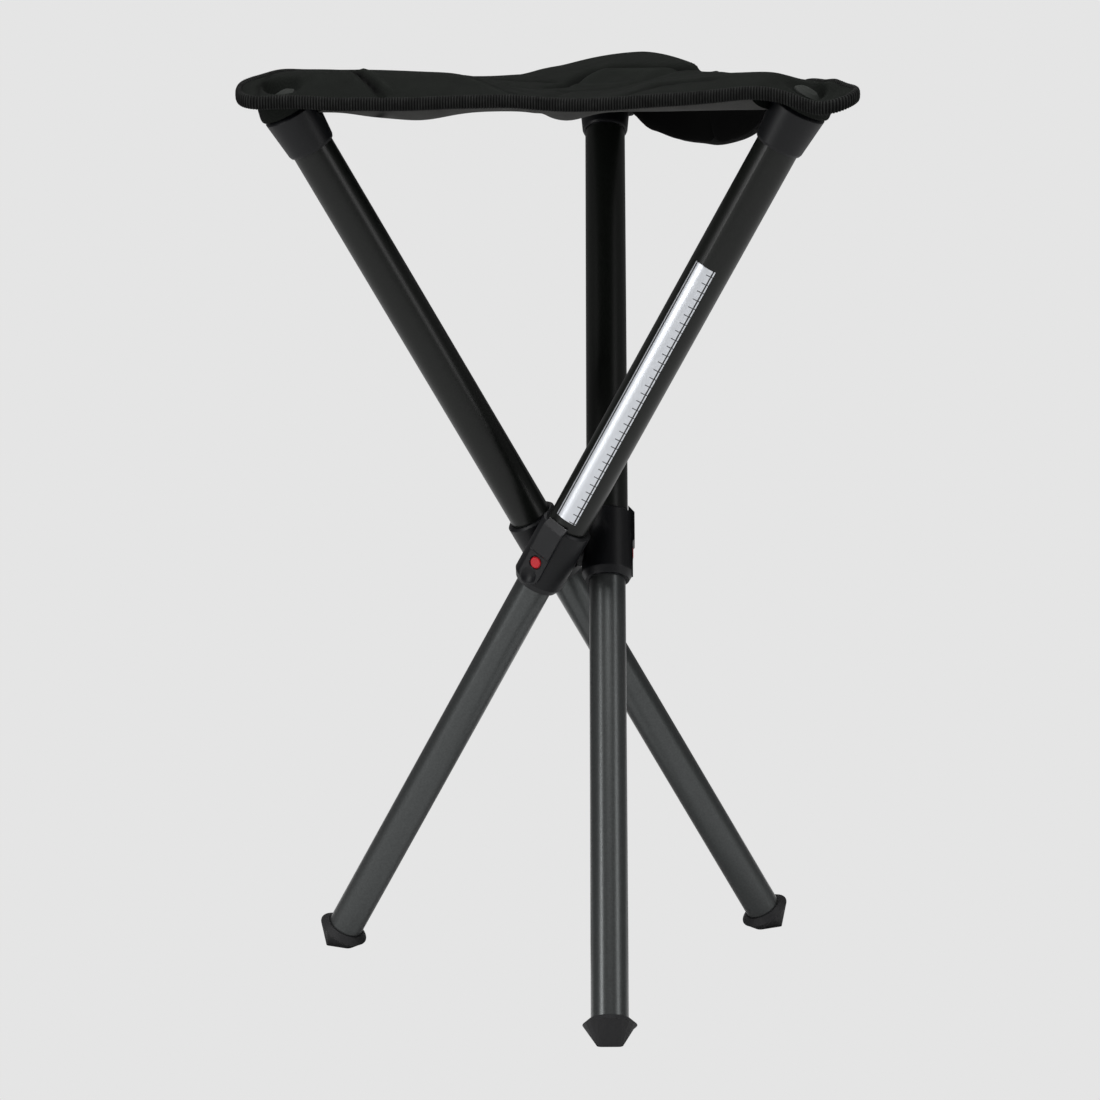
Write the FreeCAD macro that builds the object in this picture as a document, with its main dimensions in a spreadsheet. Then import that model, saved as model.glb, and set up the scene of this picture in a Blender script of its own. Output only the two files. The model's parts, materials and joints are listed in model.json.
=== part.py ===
import FreeCAD, Part
import math
import os
import Sketcher
from FreeCAD import Matrix, Placement, Rotation, Vector

# Three-legged folding stool with telescopic legs and a triangular padded seat.
# The frame stands on the floor at Z 0, with the hub's vertical axis on the Z axis.
# All sizes are in millimetres and degrees.
# Each leg has a frame of its own, whose origin is its pivot in the hub. Local Z runs up the leg,
# local X points away from the hub's axis, and local Y points out and down.

SIZES = {
    "leg_tilt": 31.9,
    "hub_stand": 9.8,
    "hub_height": 236.0,
    "outer_tube_od": 23.0,
    "outer_tube_wall": 0.9,
    "outer_tube_top": 284.0,
    "tube_clearance": 0.6,
    "inner_tube_wall": 1.2,
    "inner_tube_top": 20.0,
    "slide_gap": 0.05,
    "press_gap": 0.02,
    "collar_wall": 2.7,
    "collar_above": 23.4,
    "collar_below": 16.0,
    "collar_step": 6.0,
    "collar_edge": 1.2,
    "collar_lip_drop": 3.8,
    "collar_lip_draw": 2.1,
    "boss_width": 13.0,
    "boss_stand": 3.7,
    "boss_above": 26.0,
    "boss_slope": 4.0,
    "boss_below": 13.8,
    "boss_notch_above": 4.7,
    "boss_notch_stand": 2.6,
    "scoop_ball": 8.0,
    "scoop_floor_stand": 1.1,
    "scoop_below": 8.6,
    "knuckle_od": 14.0,
    "knuckle_stand": 5.0,
    "journal_od": 8.0,
    "journal_stand": 1.7,
    "screw_head_od": 9.6,
    "screw_head_thick": 1.9,
    "screw_shank_od": 3.4,
    "screw_end": 2.6,
    "socket_width": 2.6,
    "socket_depth": 1.0,
    "core_height": 13.0,
    "core_gap": 0.25,
    "core_corner": 1.6,
    "button_od": 6.4,
    "button_stand": 2.9,
    "button_flange_od": 8.4,
    "button_flange_thick": 0.8,
    "button_flange_stand": 1.8,
    "button_nose_od": 4.8,
    "button_travel": 1.3,
    "button_edge": 0.5,
    "button_clear": 0.15,
    "pin_od": 5.0,
    "pin_stand": 1.3,
    "pin_clear": 0.1,
    "spring_width": 7.0,
    "spring_thick": 0.6,
    "spring_gap": 0.9,
    "spring_arm_above": 5.0,
    "spring_arm_below": 20.0,
    "plug_skirt_bottom": 6.2,
    "plug_cap_thick": 2.0,
    "plug_stem": 11.0,
    "plug_stem_wall": 1.6,
    "cap_bottom": 266.8,
    "cap_wall": 1.6,
    "cap_top": 291.0,
    "cap_flare": 1.9,
    "cap_lower_edge": 1.3,
    "cap_shoulder": 2.0,
    "stud_head_od": 14.4,
    "stud_head_bottom": 297.2,
    "stud_rim": 1.0,
    "stud_crown": 2.4,
    "stud_stem_od": 6.0,
    "stud_stem_end": 279.0,
    "foot_ring_height": 9.1,
    "foot_ring_stand": 4.35,
    "foot_shoulder": 3.0,
    "foot_lip_wall": 0.9,
    "foot_tube_seat": 0.8,
    "foot_stem": 22.0,
    "foot_rib": 0.6,
    "sole_heel": 3.0,
    "sole_toe": 14.0,
    "sole_width": 14.0,
    "sole_corner": 2.5,
    "label_bottom": 29.7,
    "label_top": 193.5,
    "label_turn": 9.7,
    "label_spread": 63.0,
    "label_thick": 0.15,
    "seat_thick": 6.2,
    "pad_thick": 7.5,
    "seat_gap": 0.35,
    "corner_depth": 13.9,
    "corner_reach": 26.9,
    "corner_round": 13.5,
    "corner_crest": 0.6,
    "edge_draw": 11.4,
    "knee_share": 0.75,
    "crest_share": 0.9,
    "crown_round": 1.5,
    "panel_point": 1.0,
    "binding_height": 7.4,
    "binding_thick": 3.0,
    "binding_gap": 0.05,
    "tip_rise": -1.2,
    "corner_side_rise": -1.5,
    "hinge_side_rise": -0.9,
    "centre_rise": 0.3,
    "hump_rise_front": 9.0,
    "hump_rise_left": 13.3,
    "hump_rise_rear": 19.3,
    "front_edge_rise": -4.2,
    "left_edge_rise": 7.1,
    "right_edge_rise": -24.2,
}

LEGS = ("a", "b", "c")
LEG_YAW = {"a": -120.0, "b": 120.0, "c": 0.0}
FOOT_STEPS = 5
CROWN_SHARES = (-1.0, -0.5, 0.0, 0.5, 1.0)
SEAM = 0.0001

doc = FreeCAD.newDocument("telescopic_stool")
sheet = doc.addObject("Spreadsheet::Sheet", "Sizes")
for row, (alias, number) in enumerate(SIZES.items(), start=1):
    sheet.set("A%d" % row, alias.replace("_", " "))
    sheet.set("B%d" % row, str(number))
    sheet.setAlias("B%d" % row, alias)
doc.recompute()


class Dim:
    """A size that carries its value and the formula on the sheet that gives it."""

    def __init__(self, value, formula):
        self.value = float(value)
        self.formula = formula

    def __add__(self, other):
        other = as_dim(other)
        return Dim(self.value + other.value, "(%s + %s)" % (self.formula, other.formula))

    def __sub__(self, other):
        other = as_dim(other)
        return Dim(self.value - other.value, "(%s - %s)" % (self.formula, other.formula))

    def __mul__(self, other):
        other = as_dim(other)
        return Dim(self.value * other.value, "(%s * %s)" % (self.formula, other.formula))

    def __truediv__(self, other):
        other = as_dim(other)
        return Dim(self.value / other.value, "(%s / %s)" % (self.formula, other.formula))

    def __neg__(self):
        return Dim(-self.value, "(0 - %s)" % self.formula)


def as_dim(number):
    """A plain number as a size without a name."""
    return number if isinstance(number, Dim) else Dim(number, repr(float(number)))


def size(alias):
    """The named size, bound to its cell."""
    return Dim(sheet.get(alias), "Sizes." + alias)


def cosine(angle):
    return Dim(math.cos(math.radians(angle.value)), "cos(%s * 1 deg)" % angle.formula)


ZERO = as_dim(0)


def between(first, last, share):
    return first + (last - first) * share


def origin_plane(body, role):
    """The body's own XY, XZ or YZ plane."""
    for feature in body.Origin.OriginFeatures:
        if feature.Role == role:
            return feature
    raise ValueError("no plane " + role)


def new_body(label, placement=None):
    body = doc.addObject("PartDesign::Body", label)
    body.Label = label
    if placement:
        body.setExpression("Placement", placement)
    return body


def new_sketch(body, name, role, offset=ZERO):
    """An empty sketch on one of the body's planes, moved along the plane's normal."""
    sketch = body.newObject("Sketcher::SketchObject", name)
    sketch.AttachmentSupport = [(origin_plane(body, role), "")]
    sketch.MapMode = "FlatFace"
    sketch.AttachmentOffset = Placement(Vector(0, 0, offset.value), Rotation())
    sketch.setExpression("AttachmentOffset.Base.z", offset.formula)
    return sketch


def pin_coordinate(sketch, kind, geometry, point, dim):
    """Holds one coordinate of a sketch point at a size, on the side where it is now."""
    if abs(dim.value) < 1e-9:
        other = "PointOnObject"
        axis = -2 if kind == "DistanceX" else -1
        sketch.addConstraint(Sketcher.Constraint(other, geometry, point, axis))
        return
    if dim.value > 0:
        index = sketch.addConstraint(Sketcher.Constraint(kind, -1, 1, geometry, point, dim.value))
        sketch.setExpression("Constraints[%d]" % index, dim.formula)
    else:
        index = sketch.addConstraint(Sketcher.Constraint(kind, geometry, point, -1, 1, -dim.value))
        sketch.setExpression("Constraints[%d]" % index, (-dim).formula)


def draw_outline(sketch, corners):
    """A closed outline of straight lines through corners, each corner held by its two sizes."""
    points = [Vector(as_dim(x).value, as_dim(y).value, 0) for x, y in corners]
    lines = []
    for start, end in zip(points, points[1:] + points[:1]):
        lines.append(sketch.addGeometry(Part.LineSegment(start, end), False))
    for line, following in zip(lines, lines[1:] + lines[:1]):
        sketch.addConstraint(Sketcher.Constraint("Coincident", line, 2, following, 1))
    for line, (x, y) in zip(lines, corners):
        pin_coordinate(sketch, "DistanceX", line, 1, as_dim(x))
        pin_coordinate(sketch, "DistanceY", line, 1, as_dim(y))


def draw_circle(sketch, radius, x=ZERO, y=ZERO):
    circle = sketch.addGeometry(Part.Circle(Vector(x.value, y.value, 0), Vector(0, 0, 1), radius.value), False)
    pin_coordinate(sketch, "DistanceX", circle, 3, x)
    pin_coordinate(sketch, "DistanceY", circle, 3, y)
    index = sketch.addConstraint(Sketcher.Constraint("Radius", circle, radius.value))
    sketch.setExpression("Constraints[%d]" % index, radius.formula)


def add_pad(body, sketch, length, backwards=False, midplane=False):
    pad = body.newObject("PartDesign::Pad", sketch.Name + "_pad")
    pad.Profile = sketch
    pad.Length = length.value
    pad.setExpression("Length", length.formula)
    pad.Reversed = backwards
    pad.Midplane = midplane
    return pad


def add_pocket(body, sketch, length, backwards=False):
    """Cuts from the sketch's plane against its normal, or along it when backwards."""
    pocket = body.newObject("PartDesign::Pocket", sketch.Name + "_pocket")
    pocket.Profile = sketch
    pocket.Length = length.value
    pocket.setExpression("Length", length.formula)
    pocket.Reversed = backwards
    return pocket


def add_revolution(body, sketch, axis):
    revolution = body.newObject("PartDesign::Revolution", sketch.Name + "_turned")
    revolution.Profile = sketch
    revolution.ReferenceAxis = (sketch, [axis])
    revolution.Angle = 360.0
    return revolution


def add_fillet(body, feature, edges, radius):
    doc.recompute()
    fillet = body.newObject("PartDesign::Fillet", feature.Name + "_round")
    fillet.Base = (feature, edges)
    fillet.Radius = radius.value
    fillet.setExpression("Radius", radius.formula)
    body.Tip = fillet
    doc.recompute()
    return fillet


def skin(outlines):
    """A solid whose flat-sided skin joins closed outlines of equally many points, in order."""
    faces = []
    for outline in (outlines[0], outlines[-1]):
        faces.append(Part.Face(Part.makePolygon(outline + outline[:1])))
    for lower, upper in zip(outlines, outlines[1:]):
        for here in range(len(lower)):
            following = (here + 1) % len(lower)
            for corners in ((lower[here], lower[following], upper[following]),
                            (lower[here], upper[following], upper[here])):
                faces.append(Part.Face(Part.makePolygon(corners + corners[:1])))
    solid = Part.Solid(Part.Shell(faces))
    solid.fix(SEAM, SEAM, SEAM)
    if solid.Volume < 0:
        solid.reverse()
    return solid


# Places of the three legs

def leg_placement(leg):
    """The formula of a leg's frame: turned about the hub, moved out to its pivot and tilted."""
    yaw = "%s * 1 deg" % LEG_YAW[leg]
    offset = leg_offset.formula
    base = "create(<<vector>>; %s * cos(%s); %s * sin(%s); Sizes.hub_height)" % (offset, yaw, offset, yaw)
    turn = "create(<<rotation>>; %s; 0 deg; (0 - Sizes.leg_tilt) * 1 deg)" % yaw
    return "create(<<placement>>; %s; %s)" % (base, turn)


def leg_frame(leg):
    """The same frame as a placement, for shapes that are set directly."""
    yaw = Rotation(Vector(0, 0, 1), LEG_YAW[leg])
    base = yaw.multVec(Vector(leg_offset.value, 0, size("hub_height").value))
    tilt = Rotation(Vector(1, 0, 0), -size("leg_tilt").value)
    return Placement(base, yaw.multiply(tilt))


outer_radius = size("outer_tube_od") / 2
outer_bore = outer_radius - size("outer_tube_wall")
inner_radius = outer_bore - size("tube_clearance")
inner_bore = inner_radius - size("inner_tube_wall")
guide_radius = inner_radius + size("slide_gap")
glide_radius = outer_bore - size("slide_gap")
seat_radius_outer_tube = outer_radius + size("press_gap")
stem_radius = inner_bore - size("press_gap")

# Reaches from a leg's axis, each a stand beyond the tube that it goes with
leg_offset = outer_radius + size("hub_stand")
collar_radius = outer_radius + size("collar_wall")
boss_reach = outer_radius + size("boss_stand")
notch_reach = outer_radius + size("boss_notch_stand")
scoop_floor = outer_radius + size("scoop_floor_stand")
knuckle_reach = outer_radius + size("knuckle_stand")
journal_reach = outer_radius + size("journal_stand")
button_reach = outer_radius + size("button_stand")
flange_reach = outer_radius + size("button_flange_stand")
pin_reach = inner_radius + size("pin_stand")
spring_reach = inner_bore - size("spring_gap")
cap_bottom_radius = outer_radius + size("cap_wall")
cap_top_radius = cap_bottom_radius + size("cap_flare")
foot_ring_radius = inner_radius + size("foot_ring_stand")
foot_ring_drop = (size("hub_height") - size("foot_ring_height")) / cosine(size("leg_tilt"))
inner_tube_bottom = -(foot_ring_drop - size("foot_tube_seat"))


# Hub: a three-sided core with three journals, one to a leg

def core_corners(inradius):
    """Corners of the core, whose sides lie square to the legs' pivots."""
    turns = sorted(LEG_YAW.values())
    corners = []
    for turn, following in zip(turns, turns[1:] + [turns[0] + 360]):
        half = math.radians(following - turn) / 2
        middle = math.radians(turn) + half
        corners.append((inradius * (math.cos(middle) / math.cos(half)), inradius * (math.sin(middle) / math.cos(half))))
    return corners


def add_pivot_cylinder(body, kind, name, leg, radius, start, length):
    """A cylinder along one leg's pivot, which adds to the body or cuts it."""
    cylinder = body.newObject("PartDesign::" + kind, name)
    cylinder.AttachmentSupport = [(origin_plane(body, "XY_Plane"), "")]
    cylinder.MapMode = "FlatFace"
    cylinder.setExpression("Radius", radius.formula)
    cylinder.setExpression("Height", length.formula)
    yaw = "%s * 1 deg" % LEG_YAW[leg]
    base = "create(<<vector>>; %s * cos(%s); %s * sin(%s); 0)" % (start.formula, yaw, start.formula, yaw)
    cylinder.setExpression("AttachmentOffset",
                           "create(<<placement>>; %s; create(<<rotation>>; %s; 90 deg; 0 deg))" % (base, yaw))
    return cylinder


def make_hub_core():
    body = new_body("hub_core", "create(<<placement>>; create(<<vector>>; 0; 0; Sizes.hub_height); create(<<rotation>>; 0 deg; 0 deg; 0 deg))")
    half = size("core_height") / 2
    outline = new_sketch(body, "core_outline", "XY_Plane", -half)
    draw_outline(outline, core_corners(leg_offset - knuckle_reach - size("core_gap")))
    pad = add_pad(body, outline, size("core_height"))
    doc.recompute()
    upright = []
    for number, edge in enumerate(pad.Shape.Edges, start=1):
        if abs(edge.Length - size("core_height").value) < 1e-6:
            upright.append("Edge%d" % number)
    add_fillet(body, pad, upright, size("core_corner"))
    for leg in LEGS:
        add_pivot_cylinder(body, "AdditiveCylinder", "journal_" + leg, leg, size("journal_od") / 2, ZERO,
                           leg_offset - journal_reach)
    for leg in LEGS:
        body.Tip = add_pivot_cylinder(body, "SubtractiveCylinder", "thread_" + leg, leg,
                                      size("screw_shank_od") / 2 + size("press_gap"), size("screw_end"), leg_offset)
    return body


# Pivot screws: one in each journal, whose head keeps the collar on it

def make_pivot_screws():
    head_start = leg_offset - journal_reach
    screws = []
    for leg in LEGS:
        head = doc.addObject("Part::Cylinder", "screw_head_" + leg)
        head.setExpression("Radius", (size("screw_head_od") / 2).formula)
        head.setExpression("Height", size("screw_head_thick").formula)
        shank = doc.addObject("Part::Cylinder", "screw_shank_" + leg)
        shank.setExpression("Radius", (size("screw_shank_od") / 2).formula)
        shank.setExpression("Height", (head_start - size("screw_end")).formula)
        shank.setExpression("Placement.Base.z", (size("screw_end") - head_start).formula)
        socket = doc.addObject("Part::Prism", "screw_socket_" + leg)
        socket.Polygon = 6
        socket.setExpression("Circumradius", (size("socket_width") / 2).formula)
        socket.setExpression("Height", size("socket_depth").formula)
        socket.setExpression("Placement.Base.z", (size("screw_head_thick") - size("socket_depth")).formula)
        whole = doc.addObject("Part::Fuse", "screw_blank_" + leg)
        whole.Base = head
        whole.Tool = shank
        screw = doc.addObject("Part::Cut", "screw_" + leg)
        screw.Base = whole
        screw.Tool = socket
        yaw = "%s * 1 deg" % LEG_YAW[leg]
        base = "create(<<vector>>; %s * cos(%s); %s * sin(%s); Sizes.hub_height)" % (
            head_start.formula, yaw, head_start.formula, yaw)
        screw.setExpression("Placement", "create(<<placement>>; %s; create(<<rotation>>; %s; 90 deg; 0 deg))" % (base, yaw))
        screws.append(screw)
    group = doc.addObject("Part::Compound", "pivot_screws")
    group.Label = "pivot_screws"
    group.Links = screws
    return group


# Telescopic leg

def make_outer_tube(leg):
    body = new_body("outer_tube_" + leg, leg_placement(leg))
    ring = new_sketch(body, "outer_tube_ring_" + leg, "XY_Plane", size("collar_step"))
    draw_circle(ring, outer_radius)
    draw_circle(ring, outer_bore)
    add_pad(body, ring, size("outer_tube_top") - size("collar_step"))
    return body


def make_inner_tube(leg):
    body = new_body("inner_tube_" + leg, leg_placement(leg))
    ring = new_sketch(body, "inner_tube_ring_" + leg, "XY_Plane", inner_tube_bottom)
    draw_circle(ring, inner_radius)
    draw_circle(ring, inner_bore)
    add_pad(body, ring, size("inner_tube_top") - inner_tube_bottom)
    hole = new_sketch(body, "latch_hole_" + leg, "YZ_Plane")
    draw_circle(hole, size("pin_od") / 2 + size("pin_clear"))
    add_pocket(body, hole, inner_radius * 2, backwards=True)
    return body


def make_collar(leg):
    """Moulded collar: tube socket above, guide for the inner tube below, thumb boss and pivot knuckle."""
    body = new_body("collar_" + leg, leg_placement(leg))
    radius = collar_radius
    above = size("collar_above")
    below = size("collar_below")
    edge = size("collar_edge")
    profile = new_sketch(body, "collar_profile_" + leg, "XZ_Plane")
    draw_outline(profile, [
        (guide_radius, -below),
        (radius - size("collar_lip_draw"), -below),
        (radius, -(below - size("collar_lip_drop"))),
        (radius, above - edge),
        (radius - edge, above),
        (seat_radius_outer_tube, above),
        (seat_radius_outer_tube, size("collar_step")),
        (guide_radius, size("collar_step")),
    ])
    add_revolution(body, profile, "V_Axis")
    root = seat_radius_outer_tube + size("press_gap") * 10
    half_width = size("boss_width") / 2
    round_middle = half_width - size("boss_below")
    notch = size("boss_notch_above")
    low_boss = new_sketch(body, "low_boss_" + leg, "YZ_Plane", root)
    draw_outline(low_boss, [(-half_width, round_middle), (half_width, round_middle), (half_width, notch + edge),
                            (-half_width, notch + edge)])
    add_pad(body, low_boss, notch_reach - root)
    boss_round = new_sketch(body, "boss_round_" + leg, "YZ_Plane", root)
    draw_circle(boss_round, half_width, ZERO, round_middle)
    add_pad(body, boss_round, notch_reach - root)
    high_boss = new_sketch(body, "high_boss_" + leg, "XZ_Plane")
    draw_outline(high_boss, [
        (root, notch),
        (notch_reach, notch),
        (boss_reach, notch + edge),
        (boss_reach, size("boss_above") - size("boss_slope")),
        (root, size("boss_above")),
    ])
    add_pad(body, high_boss, size("boss_width"), midplane=True)
    knuckle = new_sketch(body, "knuckle_" + leg, "YZ_Plane", -root)
    draw_circle(knuckle, size("knuckle_od") / 2)
    add_pad(body, knuckle, knuckle_reach - root, backwards=True)
    web_inner = journal_reach + size("pin_clear")
    journal_bore = new_sketch(body, "journal_bore_" + leg, "YZ_Plane", -web_inner)
    draw_circle(journal_bore, size("journal_od") / 2 + size("slide_gap"))
    add_pocket(body, journal_bore, knuckle_reach)
    head_pocket = new_sketch(body, "head_pocket_" + leg, "YZ_Plane", -(guide_radius / 2))
    draw_circle(head_pocket, size("screw_head_od") / 2 + size("pin_clear"))
    add_pocket(body, head_pocket, web_inner - guide_radius / 2)
    scoop = body.newObject("PartDesign::SubtractiveSphere", "thumb_scoop_" + leg)
    scoop.Radius = size("scoop_ball").value
    scoop.setExpression("Radius", size("scoop_ball").formula)
    scoop.setExpression("AttachmentOffset.Base.x", (scoop_floor + size("scoop_ball")).formula)
    scoop.setExpression("AttachmentOffset.Base.z", (-size("scoop_below")).formula)
    scoop.AttachmentSupport = [(origin_plane(body, "XY_Plane"), "")]
    scoop.MapMode = "FlatFace"
    button_radius = size("button_od") / 2 + size("button_clear")
    flange_radius = size("button_flange_od") / 2 + size("button_clear")
    flange_top = flange_reach + size("pin_clear")
    floor = flange_reach - size("button_flange_thick") - size("button_travel")
    ring = new_sketch(body, "button_ring_" + leg, "YZ_Plane", notch_reach)
    draw_circle(ring, button_radius + size("button_edge"))
    add_pocket(body, ring, size("button_edge"))
    mouth = new_sketch(body, "button_mouth_" + leg, "YZ_Plane", boss_reach)
    draw_circle(mouth, button_radius)
    add_pocket(body, mouth, boss_reach - flange_top)
    chamber = new_sketch(body, "button_chamber_" + leg, "YZ_Plane", flange_top)
    draw_circle(chamber, flange_radius)
    add_pocket(body, chamber, flange_top - floor)
    latch = new_sketch(body, "latch_bore_" + leg, "YZ_Plane", floor)
    draw_circle(latch, size("pin_od") / 2 + size("pin_clear"))
    add_pocket(body, latch, floor - guide_radius / 2)
    return body


def make_release_button(leg):
    body = new_body("release_button_" + leg, leg_placement(leg))
    top = button_reach
    flange_top = flange_reach
    flange_bottom = flange_top - size("button_flange_thick")
    edge = size("button_edge")
    profile = new_sketch(body, "button_profile_" + leg, "XZ_Plane")
    draw_outline(profile, [
        (pin_reach + size("slide_gap"), ZERO),
        (top, ZERO),
        (top, size("button_od") / 2 - edge),
        (top - edge, size("button_od") / 2),
        (flange_top, size("button_od") / 2),
        (flange_top, size("button_flange_od") / 2),
        (flange_bottom, size("button_flange_od") / 2),
        (flange_bottom, size("button_nose_od") / 2),
        (pin_reach + size("slide_gap"), size("button_nose_od") / 2),
    ])
    add_revolution(body, profile, "H_Axis")
    return body


def make_latch_spring(leg):
    """Bent spring strip inside the inner tube, with the latch pin riveted to its free arm."""
    body = new_body("latch_spring_" + leg, leg_placement(leg))
    outer = spring_reach
    inner = outer - size("spring_thick")
    above = size("spring_arm_above")
    below = size("spring_arm_below")
    strip = new_sketch(body, "spring_strip_" + leg, "XZ_Plane")
    low = -below.value
    bend = Vector(0, low, 0)
    normal = Vector(0, 0, 1)
    geometry = [
        Part.LineSegment(Vector(outer.value, above.value, 0), Vector(outer.value, low, 0)),
        Part.ArcOfCircle(Part.Circle(bend, normal, outer.value), math.pi, 2 * math.pi),
        Part.LineSegment(Vector(-outer.value, low, 0), Vector(-outer.value, above.value, 0)),
        Part.LineSegment(Vector(-outer.value, above.value, 0), Vector(-inner.value, above.value, 0)),
        Part.LineSegment(Vector(-inner.value, above.value, 0), Vector(-inner.value, low, 0)),
        Part.ArcOfCircle(Part.Circle(bend, normal, inner.value), math.pi, 2 * math.pi),
        Part.LineSegment(Vector(inner.value, low, 0), Vector(inner.value, above.value, 0)),
        Part.LineSegment(Vector(inner.value, above.value, 0), Vector(outer.value, above.value, 0)),
    ]
    right, outer_arc, left, left_end, left_in, inner_arc, right_in, right_end = [
        strip.addGeometry(one, False) for one in geometry]
    joins = [(right, 2, outer_arc, 2), (outer_arc, 1, left, 1), (left, 2, left_end, 1), (left_end, 2, left_in, 1),
             (left_in, 2, inner_arc, 1), (inner_arc, 2, right_in, 1), (right_in, 2, right_end, 1), (right_end, 2, right, 1)]
    for first, first_end, second, second_end in joins:
        strip.addConstraint(Sketcher.Constraint("Coincident", first, first_end, second, second_end))
    for line, x, y in ((right, outer, above), (left, -outer, -below), (left_end, -outer, above), (left_in, -inner, above),
                       (right_in, inner, -below), (right_end, inner, above)):
        pin_coordinate(strip, "DistanceX", line, 1, x)
        pin_coordinate(strip, "DistanceY", line, 1, y)
    for arc in (outer_arc, inner_arc):
        strip.addConstraint(Sketcher.Constraint("PointOnObject", arc, 3, -2))
        pin_coordinate(strip, "DistanceY", arc, 3, -below)
    add_pad(body, strip, size("spring_width"), midplane=True)
    pin = new_sketch(body, "latch_pin_" + leg, "YZ_Plane", inner)
    draw_circle(pin, size("pin_od") / 2)
    add_pad(body, pin, pin_reach - inner)
    return body


def make_glide_plug(leg):
    """Plastic cup over the inner tube's upper end, which glides in the outer tube and stops on the collar's step."""
    body = new_body("glide_plug_" + leg, leg_placement(leg))
    top = size("inner_tube_top") + size("plug_cap_thick")
    stem_end = size("inner_tube_top") - size("plug_stem")
    hollow = stem_radius - size("plug_stem_wall")
    profile = new_sketch(body, "plug_profile_" + leg, "XZ_Plane")
    draw_outline(profile, [
        (ZERO, size("inner_tube_top")),
        (hollow, size("inner_tube_top")),
        (hollow, stem_end),
        (stem_radius, stem_end),
        (stem_radius, size("inner_tube_top")),
        (inner_radius + size("press_gap"), size("inner_tube_top")),
        (inner_radius + size("press_gap"), size("plug_skirt_bottom")),
        (glide_radius, size("plug_skirt_bottom")),
        (glide_radius, top - size("button_edge")),
        (glide_radius - size("button_edge"), top),
        (ZERO, top),
    ])
    add_revolution(body, profile, "V_Axis")
    return body


def make_top_cap(leg):
    """Flared cap on the upper end of the outer tube, with a socket for the stud."""
    body = new_body("top_cap_" + leg, leg_placement(leg))
    bore = size("stud_stem_od") / 2 + size("press_gap")
    lower = cap_bottom_radius
    upper = cap_top_radius
    edge = size("cap_lower_edge")
    shoulder = size("cap_shoulder")
    profile = new_sketch(body, "cap_profile_" + leg, "XZ_Plane")
    draw_outline(profile, [
        (seat_radius_outer_tube, size("cap_bottom")),
        (lower - edge * 0.4, size("cap_bottom")),
        (lower, size("cap_bottom") + edge),
        (upper, size("cap_top") - shoulder),
        (upper - shoulder, size("cap_top")),
        (bore, size("cap_top")),
        (bore, size("outer_tube_top")),
        (seat_radius_outer_tube, size("outer_tube_top")),
    ])
    add_revolution(body, profile, "V_Axis")
    return body


def make_corner_stud(leg):
    """Round-headed stud that pins the seat's corner to the cap."""
    body = new_body("corner_stud_" + leg, leg_placement(leg))
    head = size("stud_head_od") / 2
    stem = size("stud_stem_od") / 2
    bottom = size("stud_head_bottom")
    rim = bottom + size("stud_rim")
    crown = size("stud_crown")
    profile = new_sketch(body, "stud_profile_" + leg, "XZ_Plane")
    draw_outline(profile, [
        (ZERO, size("stud_stem_end")),
        (stem, size("stud_stem_end")),
        (stem, bottom),
        (head, bottom),
        (head, rim),
        (head * 0.7, rim + crown * 0.7),
        (ZERO, rim + crown),
    ])
    add_revolution(body, profile, "V_Axis")
    return body


def rounded_outline(half_length, half_width, corner, place):
    """Points round a rounded rectangle, moved by place."""
    points = []
    for quarter in range(4):
        turn = Placement(Vector(), Rotation(Vector(0, 0, 1), 90 * quarter))
        along, across = (half_length, half_width) if quarter % 2 == 0 else (half_width, half_length)
        for step in range(FOOT_STEPS):
            angle = math.radians(90 * step / (FOOT_STEPS - 1))
            point = Vector(along - corner * (1 - math.cos(angle)), across - corner * (1 - math.sin(angle)), 0)
            points.append(place.multVec(turn.multVec(point)))
    return points


def ring_outline(radius, height, share):
    """Points round a circle about local Z, as many as round a rounded rectangle."""
    points = []
    for quarter in range(4):
        for step in range(FOOT_STEPS):
            angle = math.pi / 2 * quarter + between(share, math.pi / 2 - share, step / (FOOT_STEPS - 1))
            points.append(Vector(radius * math.cos(angle), radius * math.sin(angle), height))
    return points


def make_foot(leg):
    """Rubber foot: ribbed stem in the tube, a lip round it, and a body drawn down to a level sole."""
    drop = foot_ring_drop.value
    ring_radius = foot_ring_radius.value
    tilt = math.radians(size("leg_tilt").value)
    to_floor = size("hub_height").value / math.cos(tilt)
    middle = (size("sole_toe").value - size("sole_heel").value) / 2
    level = Placement(Vector(0, middle * math.cos(tilt), middle * math.sin(tilt) - to_floor),
                      Rotation(Vector(1, 0, 0), size("leg_tilt").value))
    half_width = size("sole_width").value / 2
    half_length = (size("sole_toe").value + size("sole_heel").value) / 2
    sole = rounded_outline(half_width, half_length, size("sole_corner").value, level)
    ring = ring_outline(ring_radius, -drop, math.pi / 4 / FOOT_STEPS)
    body = skin([ring, sole])
    lip = inner_radius.value + size("press_gap").value
    lip_outer = lip + size("foot_lip_wall").value
    lip_top = -drop + size("foot_shoulder").value
    seat = inner_tube_bottom.value
    stem = stem_radius.value
    stem_top = seat + size("foot_stem").value
    rib = size("foot_rib").value
    core = stem - rib
    quarter = (stem_top - seat) / 4
    profile = [
        Vector(0, 0, -drop), Vector(ring_radius, 0, -drop), Vector(lip_outer, 0, lip_top), Vector(lip, 0, lip_top),
        Vector(lip, 0, seat), Vector(stem, 0, seat), Vector(stem, 0, seat + quarter),
        Vector(core, 0, seat + quarter * 2), Vector(stem, 0, seat + quarter * 2.1),
        Vector(core, 0, stem_top), Vector(0, 0, stem_top),
    ]
    outline = Part.makePolygon(profile + profile[:1])
    turned = Part.Face(outline).revolve(Vector(), Vector(0, 0, 1), 360)
    foot = doc.addObject("Part::Feature", "foot_" + leg)
    foot.Label = "foot_" + leg
    foot.Shape = turned.fuse(body).removeSplitter()
    foot.Placement = leg_frame(leg)
    return foot


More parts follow.
